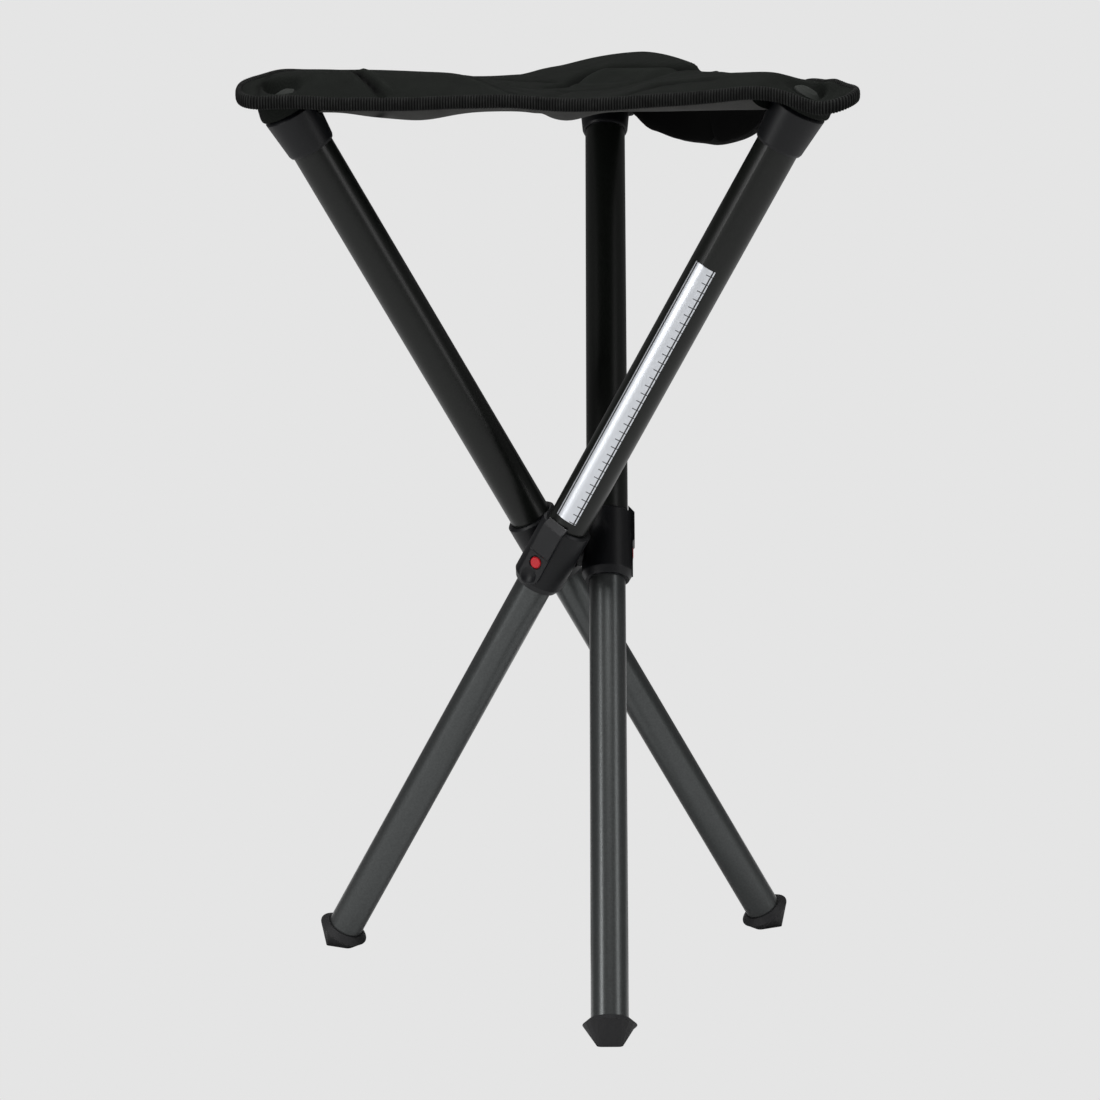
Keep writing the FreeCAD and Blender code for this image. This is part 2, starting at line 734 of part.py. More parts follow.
def make_size_label(leg):
    """Foil strip laid on the outer tube."""
    radius = outer_radius.value
    thick = size("label_thick").value
    start = size("label_turn").value - size("label_spread").value / 2
    sector = Part.makeCylinder(radius + thick, size("label_top").value - size("label_bottom").value,
                               Vector(0, 0, size("label_bottom").value), Vector(0, 0, 1), size("label_spread").value)
    inside = Part.makeCylinder(radius, size("label_top").value, Vector(0, 0, 0), Vector(0, 0, 1))
    sector.rotate(Vector(), Vector(0, 0, 1), start)
    label = doc.addObject("Part::Feature", "size_label")
    label.Label = "size_label"
    label.Shape = sector.cut(inside)
    label.Placement = leg_frame(leg)
    return label


# Seat: three padded thirds that meet at the middle, each with its corner over a leg

SIDE_RISE = {
    "a": {1: "right_edge_rise", -1: "front_edge_rise"},
    "b": {1: "front_edge_rise", -1: "left_edge_rise"},
    "c": {1: "left_edge_rise", -1: "right_edge_rise"},
}
HUMP_RISE = {"a": "hump_rise_front", "b": "hump_rise_left", "c": "hump_rise_rear"}


def seat_level():
    """Height of the seat's middle layer where the leg's axis passes through it."""
    tilt = math.radians(size("leg_tilt").value)
    along = size("cap_top").value + size("seat_thick").value / 2
    return size("hub_height").value + along * math.cos(tilt)


def axis_radius():
    """How far from the stool's axis the leg's axis passes through the seat."""
    tilt = math.radians(size("leg_tilt").value)
    along = size("cap_top").value + size("seat_thick").value / 2
    return math.hypot(along * math.sin(tilt), leg_offset.value)


def panel_end():
    """How far from the stool's axis a third of the seat meets its corner."""
    return axis_radius() - size("corner_depth").value


def corner_frame(leg):
    """A frame at floor level whose X axis points from the stool's axis to the leg's upper end."""
    lag = math.degrees(math.asin(leg_offset.value / axis_radius()))
    return Placement(Vector(), Rotation(Vector(0, 0, 1), LEG_YAW[leg] + 90 - lag))


def edge_points():
    """Where the seat's edge leaves the corner's round, and its middle, both in the corner's frame."""
    radius = size("corner_round").value
    start = Vector(axis_radius() + size("corner_reach").value - radius, radius, 0)
    inradius = axis_radius() / 2 + size("edge_draw").value
    middle = Vector(inradius * math.cos(math.radians(60)), inradius * math.sin(math.radians(60)), 0)
    return start, middle


def edge_x(y):
    """How far out the seat's edge is, at a distance to one side of the corner's line."""
    start, middle = edge_points()
    share = (abs(y) - start.y) / (middle.y - start.y)
    return start.x + (middle.x - start.x) * share


def edge_normal(side):
    """The direction square to the seat's edge, away from the seat."""
    start, middle = edge_points()
    along = (start - middle).normalize()
    return Vector(-along.y, along.x * side, 0)


def edge_half_width(x):
    """Half the seat's width at a distance along the corner's line."""
    start, middle = edge_points()
    return between(start.y, middle.y, (start.x - x) / (start.x - middle.x))


def hinge_half_width():
    """Half the seat's width where a third meets its corner."""
    return edge_half_width(panel_end())


def panel_crown_height():
    """Height of the seat's middle layer where it leaves the cap, in line with the cap's top."""
    tilt = math.radians(size("leg_tilt").value)
    return seat_level() + size("corner_depth").value * math.tan(tilt)


def side_height(leg, y):
    """Height of the seat's middle layer along its outer end, at a distance to one side."""
    start, middle = edge_points()
    end_y = hinge_half_width()
    side = 1 if y >= 0 else -1
    low = seat_level() + size(SIDE_RISE[leg][side]).value
    beside = seat_level() + size("hinge_side_rise").value
    if abs(y) <= end_y:
        return beside + (panel_crown_height() - beside) * (1 - (abs(y) / end_y) ** 2)
    share = (abs(y) - end_y) / (middle.y - end_y)
    return beside + (low - beside) * math.sin(share * math.pi / 2)


def panel_section(leg, y):
    """Closed outline of one slice of a third, parallel to the corner's line."""
    start, middle = edge_points()
    gap = size("seat_gap").value
    side = 1 if y >= 0 else -1
    inner = abs(y) / math.tan(math.radians(60)) + gap
    outer = min(panel_end(), edge_x(y)) - gap
    centre = seat_level() + size("centre_rise").value
    low = seat_level() + size(SIDE_RISE[leg][side]).value
    inner_height = between(centre, low, math.sin(abs(y) / middle.y * math.pi / 2) ** 2)
    outer_height = side_height(leg, y)
    swell = 1 - (abs(y) / middle.y) ** 1.5
    crown = seat_level() + size(HUMP_RISE[leg]).value
    knee = size("knee_share").value
    crest = size("crest_share").value
    flat_knee = between(centre, panel_crown_height(), knee)
    flat_crest = between(centre, panel_crown_height(), crest)
    knee_rise = swell * (crown - size("crown_round").value - flat_knee)
    crest_rise = swell * (crown - flat_crest)
    middle_layer = [
        (0.0, 0.0),
        (knee / 2, knee_rise * 0.4),
        (knee, knee_rise),
        (crest, crest_rise),
        (1.0, 0.0),
    ]
    halves = [size("seat_thick").value / 2] + [size("pad_thick").value / 2] * 3 + [size("seat_thick").value / 2]
    top = []
    bottom = []
    for (share, rise), half in zip(middle_layer, halves):
        x = between(inner, outer, share)
        z = between(inner_height, outer_height, share) + rise
        top.append(Vector(x, y, z + half))
        bottom.append(Vector(x, y, z - half))
    return bottom + top[::-1]


def panel_stations():
    """Distances to the side at which a third is sliced."""
    start, middle = edge_points()
    last = middle.y - size("panel_point").value
    ends = hinge_half_width()
    half = [0.0, ends / 2, ends, between(ends, last, 1 / 3), between(ends, last, 2 / 3), last]
    return [-y for y in reversed(half[1:])] + half


def make_seat_panel(leg):
    sections = [panel_section(leg, y) for y in panel_stations()]
    panel = doc.addObject("Part::Feature", "seat_panel_" + leg)
    panel.Label = "seat_panel_" + leg
    panel.Shape = skin(sections)
    panel.Placement = corner_frame(leg)
    return panel


def binding_section(leg, y):
    """Closed outline of the edge tape at one slice, square to the edge."""
    half = size("binding_height").value / 2
    normal = edge_normal(1 if y > 0 else -1)
    edge = Vector(edge_x(y), y, side_height(leg, y))
    inner = edge + normal * size("binding_gap").value
    outer = edge + normal * size("binding_thick").value
    rise = Vector(0, 0, half)
    return [inner - rise, outer - rise, outer + rise, inner + rise]


def make_edge_binding(leg):
    """Edge tape along the two free sides of a third."""
    start, middle = edge_points()
    first = hinge_half_width()
    last = middle.y - size("seat_gap").value
    runs = []
    for side in (-1, 1):
        stations = [side * between(first, last, share) for share in (0, 0.25, 0.5, 0.75, 1)]
        runs.append(skin([binding_section(leg, y) for y in stations]))
    binding = doc.addObject("Part::Feature", "edge_binding_" + leg)
    binding.Label = "edge_binding_" + leg
    binding.Shape = Part.makeCompound(runs)
    binding.Placement = corner_frame(leg)
    return binding


def corner_section(x, half_width, middle_height, side_height_here):
    """Closed outline of one slice across the seat's corner."""
    half = size("seat_thick").value / 2
    points = []
    for share in CROWN_SHARES:
        rise = (middle_height - side_height_here) * (1 - share ** 2)
        points.append(Vector(x, half_width * share, side_height_here + rise))
    rise = Vector(0, 0, half)
    return [point - rise for point in points] + [point + rise for point in reversed(points)]


def make_seat_corner(leg, cap):
    """Padded corner of the seat, laid over the cap and pinned by the stud."""
    start, middle = edge_points()
    radius = size("corner_round").value
    side = seat_level() + size("corner_side_rise").value
    tip = seat_level() + size("tip_rise").value
    crest = size("corner_crest").value
    inner_end = panel_end() + size("seat_gap").value
    sections = [
        corner_section(inner_end, edge_half_width(inner_end), panel_crown_height(),
                       seat_level() + size("hinge_side_rise").value),
        corner_section(axis_radius(), edge_half_width(axis_radius()), seat_level() + crest, side),
        corner_section(start.x, radius, tip + crest, tip),
    ]
    for share in (0.6, 0.92):
        half_width = radius * math.sqrt(1 - share ** 2)
        sections.append(corner_section(start.x + radius * share, half_width, tip + crest * (1 - share), tip))
    shape = skin(sections)
    shape.Placement = corner_frame(leg)
    hole = Part.makeCylinder((size("stud_stem_od") / 2 + size("press_gap")).value, size("stud_head_bottom").value)
    hole.Placement = leg_frame(leg)
    head = Part.makeCylinder((size("stud_head_od") / 2 + size("press_gap")).value, size("stud_head_od").value,
                             Vector(0, 0, size("stud_head_bottom").value))
    head.Placement = leg_frame(leg)
    corner = doc.addObject("Part::Feature", "seat_corner_" + leg)
    corner.Label = "seat_corner_" + leg
    corner.Shape = shape.cut(cap.Shape).cut(hole).cut(head)
    return corner


def make_corner_binding(leg):
    """Edge tape round the seat's corner."""
    start, middle = edge_points()
    radius = size("corner_round").value
    height = size("binding_height").value
    edge_start = Vector(edge_x(hinge_half_width()), hinge_half_width(), 0)
    edge_start += (start - edge_start).normalize() * size("seat_gap").value
    tip = Vector(start.x + radius, 0, 0)
    normal = edge_normal(1)
    inner_gap = size("binding_gap").value
    outer_gap = size("binding_thick").value

    def mirrored(point):
        return Vector(point.x, -point.y, point.z)

    def band(distance):
        return edge_start + normal * distance, start + normal * distance, tip + Vector(distance, 0, 0)

    inner_first, inner_second, inner_tip = band(inner_gap)
    outer_first, outer_second, outer_tip = band(outer_gap)
    edges = [
        Part.makeLine(inner_first, outer_first),
        Part.makeLine(outer_first, outer_second),
        Part.Arc(outer_second, outer_tip, mirrored(outer_second)).toShape(),
        Part.makeLine(mirrored(outer_second), mirrored(outer_first)),
        Part.makeLine(mirrored(outer_first), mirrored(inner_first)),
        Part.makeLine(mirrored(inner_first), mirrored(inner_second)),
        Part.Arc(mirrored(inner_second), inner_tip, inner_second).toShape(),
        Part.makeLine(inner_second, inner_first),
    ]
    face = Part.Face(Part.Wire(edges))
    face.translate(Vector(0, 0, seat_level() + size("tip_rise").value - height / 2))
    binding = doc.addObject("Part::Feature", "corner_binding_" + leg)
    binding.Label = "corner_binding_" + leg
    binding.Shape = face.extrude(Vector(0, 0, height))
    binding.Placement = corner_frame(leg)
    return binding


parts = [make_hub_core(), make_pivot_screws()]
for leg in LEGS:
    cap = make_top_cap(leg)
    parts += [
        make_outer_tube(leg),
        make_collar(leg),
        cap,
        make_corner_stud(leg),
        make_release_button(leg),
        make_inner_tube(leg),
        make_glide_plug(leg),
        make_latch_spring(leg),
        make_foot(leg),
    ]
    doc.recompute()
    parts += [
        make_seat_corner(leg, cap),
        make_corner_binding(leg),
        make_seat_panel(leg),
        make_edge_binding(leg),
    ]
parts.append(make_size_label("a"))
doc.recompute()

for obj in doc.Objects:
    for problem in ("Invalid", "Error"):
        if problem in obj.State:
            raise RuntimeError("%s is in state %s" % (obj.Label, obj.State))
for part in parts:
    if part.Shape.isNull() or not part.Shape.isValid():
        raise RuntimeError("bad shape: " + part.Label)

os.makedirs("parts", exist_ok=True)
for part in parts:
    part.Shape.exportStep(os.path.join("parts", part.Label + ".step"))
print("wrote", len(parts), "nodes")
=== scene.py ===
import json
import math

import bpy
import numpy as np
from bpy.props import FloatProperty, FloatVectorProperty, IntProperty, PointerProperty, StringProperty
from mathutils import Matrix, Vector


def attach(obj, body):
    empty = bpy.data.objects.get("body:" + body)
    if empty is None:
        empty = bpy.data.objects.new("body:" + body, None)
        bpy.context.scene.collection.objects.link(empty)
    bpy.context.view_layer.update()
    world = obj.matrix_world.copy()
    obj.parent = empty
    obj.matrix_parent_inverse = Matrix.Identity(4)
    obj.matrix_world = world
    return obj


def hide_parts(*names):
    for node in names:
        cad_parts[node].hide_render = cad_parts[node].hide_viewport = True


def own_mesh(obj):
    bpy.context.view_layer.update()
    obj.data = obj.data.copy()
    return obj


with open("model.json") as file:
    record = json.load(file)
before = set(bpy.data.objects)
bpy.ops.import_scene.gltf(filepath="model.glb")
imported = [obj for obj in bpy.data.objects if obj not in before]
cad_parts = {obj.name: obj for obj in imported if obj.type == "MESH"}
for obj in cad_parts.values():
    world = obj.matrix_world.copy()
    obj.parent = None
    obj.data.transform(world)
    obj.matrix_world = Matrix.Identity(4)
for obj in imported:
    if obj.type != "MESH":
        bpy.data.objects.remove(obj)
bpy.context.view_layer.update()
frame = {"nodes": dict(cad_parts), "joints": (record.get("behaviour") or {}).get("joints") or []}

bl_info = {
    "name": "Folding stool",
    "version": (1, 0, 0),
    "blender": (4, 5, 0),
    "location": "View3D > Sidebar > Stool",
    "description": "Builds the padded seat, its ribbed tape and the finishes of a three-legged folding stool",
    "category": "Object",
}

MM = 0.001
LEGS = ("a", "b", "c")

# Heights up a leg from its pivot, in mm: its cap's top, the gap over that, and the cloth's top under the stud
CAP_TOP = 291.0
CAP_GAP = 0.3
STUD_SEAT = 297.0

# Distances from a leg's axis, in mm, over which a corner's upper side rises out of the dish under its stud,
# and its lower side leaves the cap's top
STUD_DISH = (8.5, 12.5)
CAP_REST = (15.5, 21.0)


# Places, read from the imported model's joints

def joint_named(name):
    """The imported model's joint of that name."""
    for joint in frame["joints"]:
        if joint["name"] == name:
            return joint
    raise KeyError(name)


def leg_matrix(leg):
    """A leg's frame in millimetres: X away from the hub's axis, Z up the leg, origin at its pivot."""
    fold = joint_named("fold_" + leg)
    across = Vector(fold["axis"])
    along = Vector(joint_named("extend_" + leg)["axis"])
    matrix = Matrix((across, along.cross(across), along)).transposed().to_4x4()
    matrix.translation = Vector(fold["pos_m"]) / MM
    return matrix


def corner_matrix(leg):
    """A seat corner's frame at floor level, whose X axis points from the hub's axis to the corner."""
    pivot = Vector(joint_named("drape_" + leg)["pos_m"])
    return Matrix.Rotation(math.atan2(pivot.y, pivot.x), 4, "Z")


# Sizes and colours, shown in the sidebar

class SeatSizes(bpy.types.PropertyGroup):
    level: FloatProperty(
        name="Level", description="Height of the seat's middle layer over a leg, mm", default=485.7, min=100)
    corner_radius: FloatProperty(
        name="Corner radius", description="From the stool's axis to a leg's axis at the seat, mm",
        default=156.96, min=20)
    panel_end: FloatProperty(
        name="Third's end", description="Where a third meets its corner, mm from the axis",
        default=143.06, min=20)
    corner_reach: FloatProperty(
        name="Corner reach", description="From a leg's axis to the corner's tip, mm", default=26.9, min=2)
    corner_round: FloatProperty(
        name="Corner round", description="Radius of the corner, mm", default=13.5, min=1)
    edge_inradius: FloatProperty(
        name="Edge distance", description="From the axis to the middle of an edge, mm", default=89.9, min=10)
    thick: FloatProperty(
        name="Pad thickness", description="Thickness of the padded cloth, mm", default=7.4, min=0.5)
    edge_thick: FloatProperty(
        name="Edge thickness", description="Thickness inside the tape, mm", default=4.4, min=0.3)
    edge_run: FloatProperty(
        name="Edge run", description="How far in from the edge the pad is pressed thin, mm",
        default=7.0, min=0.5)
    pouch_run: FloatProperty(
        name="Pouch run", description="How far in from the edge the lining hangs free, mm",
        default=5.0, min=0.5)
    seam_depth: FloatProperty(
        name="Seam depth", description="How deep the seams between thirds lie, mm", default=1.6, min=0)
    seam_run: FloatProperty(
        name="Seam width", description="Half width of the dip beside a seam, mm", default=3.4, min=0.2)
    tape_height: FloatProperty(
        name="Tape height", description="Height of the edge tape, mm", default=7.4, min=1)
    tape_thick: FloatProperty(
        name="Tape thickness", description="How far the tape stands out of the cloth, mm",
        default=2.9, min=0.5)
    rib_pitch: FloatProperty(
        name="Rib pitch", description="Distance between the tape's ribs, mm", default=1.48, min=0.5)
    rib_depth: FloatProperty(
        name="Rib depth", description="Depth of the grooves between ribs, mm", default=0.42, min=0)
    across: IntProperty(name="Steps across", description="Columns in half a third", default=44, min=6)
    along: IntProperty(
        name="Steps along", description="Columns from the middle of the seat outwards", default=78, min=8)


class LookColours(bpy.types.PropertyGroup):
    tube: StringProperty(name="Upper tube", description="sRGB code of the upper tubes", default="#101210")
    lower_tube: StringProperty(
        name="Lower tube", description="sRGB code of the lower tubes", default="#484a4a")
    plastic: StringProperty(
        name="Moulded parts", description="sRGB code of collars and caps", default="#08090c")
    stud: StringProperty(
        name="Studs", description="sRGB code of the studs in the seat's corners", default="#262826")
    button: StringProperty(name="Button", description="sRGB code of the buttons", default="#ae0d1b")
    rubber: StringProperty(name="Feet", description="sRGB code of the feet", default="#131315")
    cloth: StringProperty(name="Cloth", description="sRGB code of the seat's cloth", default="#101210")
    lining: StringProperty(name="Lining", description="sRGB code of the seat's underside", default="#3a3a39")
    # Painted shade: the near-black colour of the seat's underside behind the lining and under the flap
    painted_underside_shade: StringProperty(
        name="Backing", description="sRGB code of the cloth's coated back", default="#020202")
    # The tape's colour shows fully on the ribs' crests as a painted highlight; the grooves' colour is painted
    # shade between the ribs
    tape: StringProperty(name="Tape", description="sRGB code of the edge tape's ribs", default="#2e2f2e")
    groove: StringProperty(
        name="Grooves", description="sRGB code of the grooves between the ribs", default="#040404")
    foil: StringProperty(name="Label", description="sRGB code of the bare label", default="#c9ccd1")
    ink: StringProperty(name="Ink", description="sRGB code of the label's lines and ticks", default="#17171a")
    steel: StringProperty(name="Steel", description="sRGB code of springs and screws", default="#9b9b9d")


class StageSettings(bpy.types.PropertyGroup):
    overhead: FloatProperty(name="Overhead", description="Light above, W", default=44, min=0)
    sides: FloatProperty(
        name="Sides", description="Tall light at the left, W; the right one has half", default=20, min=0)
    behind: FloatProperty(name="Behind", description="Soft light behind the stool, W", default=9, min=0)
    fill: FloatProperty(name="Fill", description="Strength of the room's light", default=0.16, min=0)
    backdrop: StringProperty(
        name="Backdrop", description="sRGB code of floor and background", default="#e5e5e5")
    lens: FloatProperty(
        name="Lens", description="Focal length in mm on a 36 mm sensor", default=112.117, min=10)
    place: FloatVectorProperty(
        name="Camera", description="Place of the camera", subtype="TRANSLATION", unit="LENGTH",
        default=(0.0288, -1.8683, 0.5294))
    yaw: FloatProperty(name="Yaw", description="Turn from +Y, degrees", default=-1.2)
    pitch: FloatProperty(name="Pitch", description="Tilt from level, degrees", default=-8.86)
    roll: FloatProperty(name="Roll", description="Turn about the view, degrees", default=-0.59)


# Small helpers

def linear(code):
    """An sRGB hex code as linear colour."""
    parts = [int(code[i:i + 2], 16) / 255 for i in (1, 3, 5)]
    return [c / 12.92 if c <= 0.04045 else ((c + 0.055) / 1.055) ** 2.4 for c in parts] + [1.0]


def per_mm(count):
    """A pattern's scale on Object coordinates, for so many of its features to a millimetre."""
    return count / MM


def shades(code, dark, light):
    """A colour darkened and lightened by two factors."""
    tone = linear(code)[:3]
    return [channel * dark for channel in tone] + [1], [channel * light for channel in tone] + [1]


def deselect_all():
    if bpy.context.object and bpy.context.object.mode != "OBJECT":
        bpy.ops.object.mode_set(mode="OBJECT")
    bpy.ops.object.select_all(action="DESELECT")


def select_only(obj):
    deselect_all()
    obj.select_set(True)
    bpy.context.view_layer.objects.active = obj


def add_node(tree, kind, inputs=None, **settings):
    """One shader node with its settings, its input values and the links into it."""
    node = tree.nodes.new("ShaderNode" + kind)
    for name, value in settings.items():
        setattr(node, name, value)
    for name, value in (inputs or {}).items():
        socket = node.inputs[name]
        if isinstance(value, bpy.types.NodeSocket):
            tree.links.new(value, socket)
        else:
            socket.default_value = value
    return node


def new_material(name):
    """An empty node material of that name and its tree, or the one that is there and no tree."""
    if name in bpy.data.materials:
        return bpy.data.materials[name], None
    material = bpy.data.materials.new(name)
    material.use_nodes = True
    material.node_tree.nodes.clear()
    return material, material.node_tree


def finish_material(material, shader):
    """Links a shader to its material's surface."""
    add_node(material.node_tree, "OutputMaterial", {"Surface": shader.outputs[0]})
    return material


def between(first, last, share):
    """A value at a share of the way from the first to the last."""
    return first + (last - first) * share


def smooth_share(value, first, last):
    """How far a value is from the first to the last, 0 to 1, with soft ends."""
    share = min(max((value - first) / (last - first), 0), 1)
    return share * share * (3 - 2 * share)


def grid_mesh(name, columns, rows, place):
    """A grid whose points are moved to place(u, v), u and v from 0 to 1, in millimetres."""
    deselect_all()
    bpy.ops.mesh.primitive_grid_add(x_subdivisions=columns, y_subdivisions=rows, size=1, location=(0, 0, 0))
    obj = bpy.context.object
    obj.name = name
    obj.data.name = name
    for vertex in obj.data.vertices:
        vertex.co = Vector(place(vertex.co.x + 0.5, vertex.co.y + 0.5)) * MM
    return obj


def smooth(obj, angle=50):
    """Shades smooth all edges flatter than an angle in degrees."""
    select_only(obj)
    bpy.ops.object.shade_smooth_by_angle(angle=math.radians(angle))


def outwards(obj):
    """Turns the faces of a closed mesh outwards."""
    select_only(obj)
    bpy.ops.object.mode_set(mode="EDIT")
    bpy.ops.mesh.select_all(action="SELECT")
    bpy.ops.mesh.normals_make_consistent(inside=False)
    bpy.ops.object.mode_set(mode="OBJECT")


# The seat's form

# It is a level plan with rises above or below the level over the legs, in mm. The cloth is slack: each third
# is a raised lobe, the front edge hangs a little, and the right edge has a flap.

# Rises along the edges: the front one by its X, the others by the distance from their middle. The left one
# runs from the left corner to the rear one, and the right one from the rear corner to the right one.
FRONT_EDGE = ((-142, 2.5), (-118, 1.5), (-95, 1.0), (-76, 0.4), (-45, 0.6), (-25, 0.4), (-4, -1.4),
              (17, -1.5), (47, 0.6), (68, 2.1), (83, 3.8), (107, 5.0), (119, 1.4), (131, -4.0))
LEFT_EDGE = ((-125, 12), (-105, 13), (-60, 11.5), (-30, 9), (0, 7.5), (30, 7), (60, 7), (90, 8), (110, 7),
             (125, 2))
RIGHT_EDGE = ((-125, 5), (-100, 17), (-70, 20), (-40, 19), (-10, 16), (20, 12), (50, 10), (80, 9), (105, 8),
              (124, 5))

# How far the right edge's flap hangs, how far in from the edge it folds down, the power of its curve, and the
# steps along the edge over which its hang is evened
FLAP_DROP = ((-140, 5), (-124, 14), (-112, 25), (-100, 36), (-80, 40), (-60, 43), (-40, 43), (0, 39),
             (40, 29), (70, 16), (95, 4), (110, 0))
FLAP_RUN = 11
FLAP_CURVE = 1.2
FLAP_EVEN = (-9, -4, 0, 4, 9)

# X, Y and rise of places on the three lobes and at the corners' tips
LEFT_LOBE = ((-132, -54, 11.5), (-120, -40, 13), (-95, -38, 12.5), (-75, -40, 11.5), (-63, -44, 11),
             (-46, -44, 8.8), (-33, -44, 4.5), (-20, -46, 0), (-90, -8, 11), (-66, 4, 8.5), (-50, -12, 6),
             (-100, -62, 8.5), (-70, -66, 6))
FRONT_LOBE = ((29, -58, 0.3), (47, -60, 6.3), (63, -60, 8), (76, -60, 9.2), (95, -64, 10), (113, -87, 9.4),
              (60, -35, 6), (80, -30, 8), (10, -62, -3), (-5, -40, -1.5), (35, -30, 0.5), (50, -78, 3),
              (75, -84, 6))
REAR_LOBE = ((19, 142, 10.5), (12, 118, 15.5), (20, 92, 16), (10, 70, 11.5), (30, 60, 12.5), (38, 34, 8),
             (22, 24, 2.5), (0, 42, 4.5), (-16, 62, 5.5), (-20, 92, 8), (-25, 20, 2), (0, 0, 0))
TIPS = ((-168, -68, 3), (-156, -76, 1), (-161, -53, 9.5), (-145, -59, 2.5), (144, -110, 0.5),
        (137, -106, -3.5), (124, -96, 1.2), (136, -91, 6), (24, 181, -6), (33, 172, -6), (14, 172, -3),
        (21, 156, 1.2))

# Each crease: the places that it runs through, its rise, its half width, and the painted shade (below 0) and
# painted light (above 0) along it
CREASES = (
    (((-114, -34), (-109, -46), (-103, -60), (-91, -82)), -2.6, 1.9, -1.2),
    (((-108, -36), (-101, -54), (-86, -79)), 1.2, 2.2, 0.4),
    (((-56, -36), (-46, -50), (-34, -64), (-20, -84)), -1.5, 2.2, -0.55),
    (((-58, -50), (-40, -64), (-28, -86)), 1.0, 3.0, 0.25),
    (((-46, 66), (-30, 60), (-14, 51), (0, 38)), -1.8, 3.0, -0.5),
    (((-16, 20), (-4, 26), (3, 36), (8, 48), (15, 58), (25, 60), (36, 53), (48, 43), (62, 34), (76, 22),
      (84, 8)), -4.6, 3.8, -1.05),
    (((6, 24), (13, 42), (21, 51), (34, 42), (50, 30), (68, 20)), 1.8, 5.0, 0.3),
    (((14, 34), (30, 40), (46, 30), (64, 20)), 0.0, 9.0, 0.3),
    (((28, -94), (38, -80), (50, -74), (66, -77), (84, -85)), -1.3, 2.2, -0.6),
    (((-4, 30), (18, 25), (36, 16)), 0.7, 1.6, 0.5),
    (((96, -84), (62, -74), (36, -66)), 0.9, 4.0, 0.2),
    (((-2, 132), (-24, 86)), 0.8, 6.0, 0.1),
    (((-44, 12), (-96, -14)), 1.0, 5.0, 0.1),
    (((-56, 36), (-92, 14)), -1.0, 4.0, -0.3),
    (((-158, -78), (-159, -60), (-154, -44)), -0.4, 1.3, -0.6),
)

# A crease is felt within three of its half widths and fades out over four at its ends, its painted shade is a
# little narrower than its form, and one that lies further off than this is passed over
CREASE_REACH = 3
CREASE_FADE = 4
SHADE_NARROW = 1.2
CREASE_NEAR = 80

# X, Y, depth and reach of the bellies in the lining, and how far it hangs between them
BELLIES = ((-100, -76, 2.6, 15), (-75, -72, 4.8, 20), (2, -76, 5.0, 14), (45, -70, 0.6, 30))
HANG = -5.4

# The underside shows the lining in front of this Y and where the flap hangs less than this, and elsewhere
# near-black painted shade, where the seat shades its own underside
LINING_BACK = -45
LINING_FLAP = 2

# How much longer each corner's rounded tip is than the plain plan, in mm, how far short of the tip its last
# column stops, and the power that crowds the columns there
NOSE = {"a": 2.0, "b": -3.2, "c": 0.0}
TIP_SHORT = 0.25
TIP_CROWD = 0.9

# How loosely the smooth plate follows the given rises, so that it doesn't ripple
PLATE_EASE = 25.0

# Slots of the seat's cloth, its lining and the painted shade on its underside, how many metres down the lower
# layer waits until it is moved to its place, and the gap in mm under which two points of a mesh become one
CLOTH, LINING, PAINTED_UNDERSIDE_SHADE = 0, 1, 2
PARKED = -1.0
MERGE = 0.02


def edge_place(first, second, sizes, along):
    """A place on the edge between two corners, at a distance along it from its middle."""
    bearings = [math.atan2(*reversed(corner_matrix(leg).col[0].to_2d())) for leg in (first, second)]
    sweep = math.remainder(bearings[1] - bearings[0], 2 * math.pi)
    middle = bearings[0] + sweep / 2
    out = Vector((math.cos(middle), math.sin(middle)))
    side = Vector((-out.y, out.x)) * math.copysign(1, sweep)
    return out * sizes.edge_inradius + side * along, out


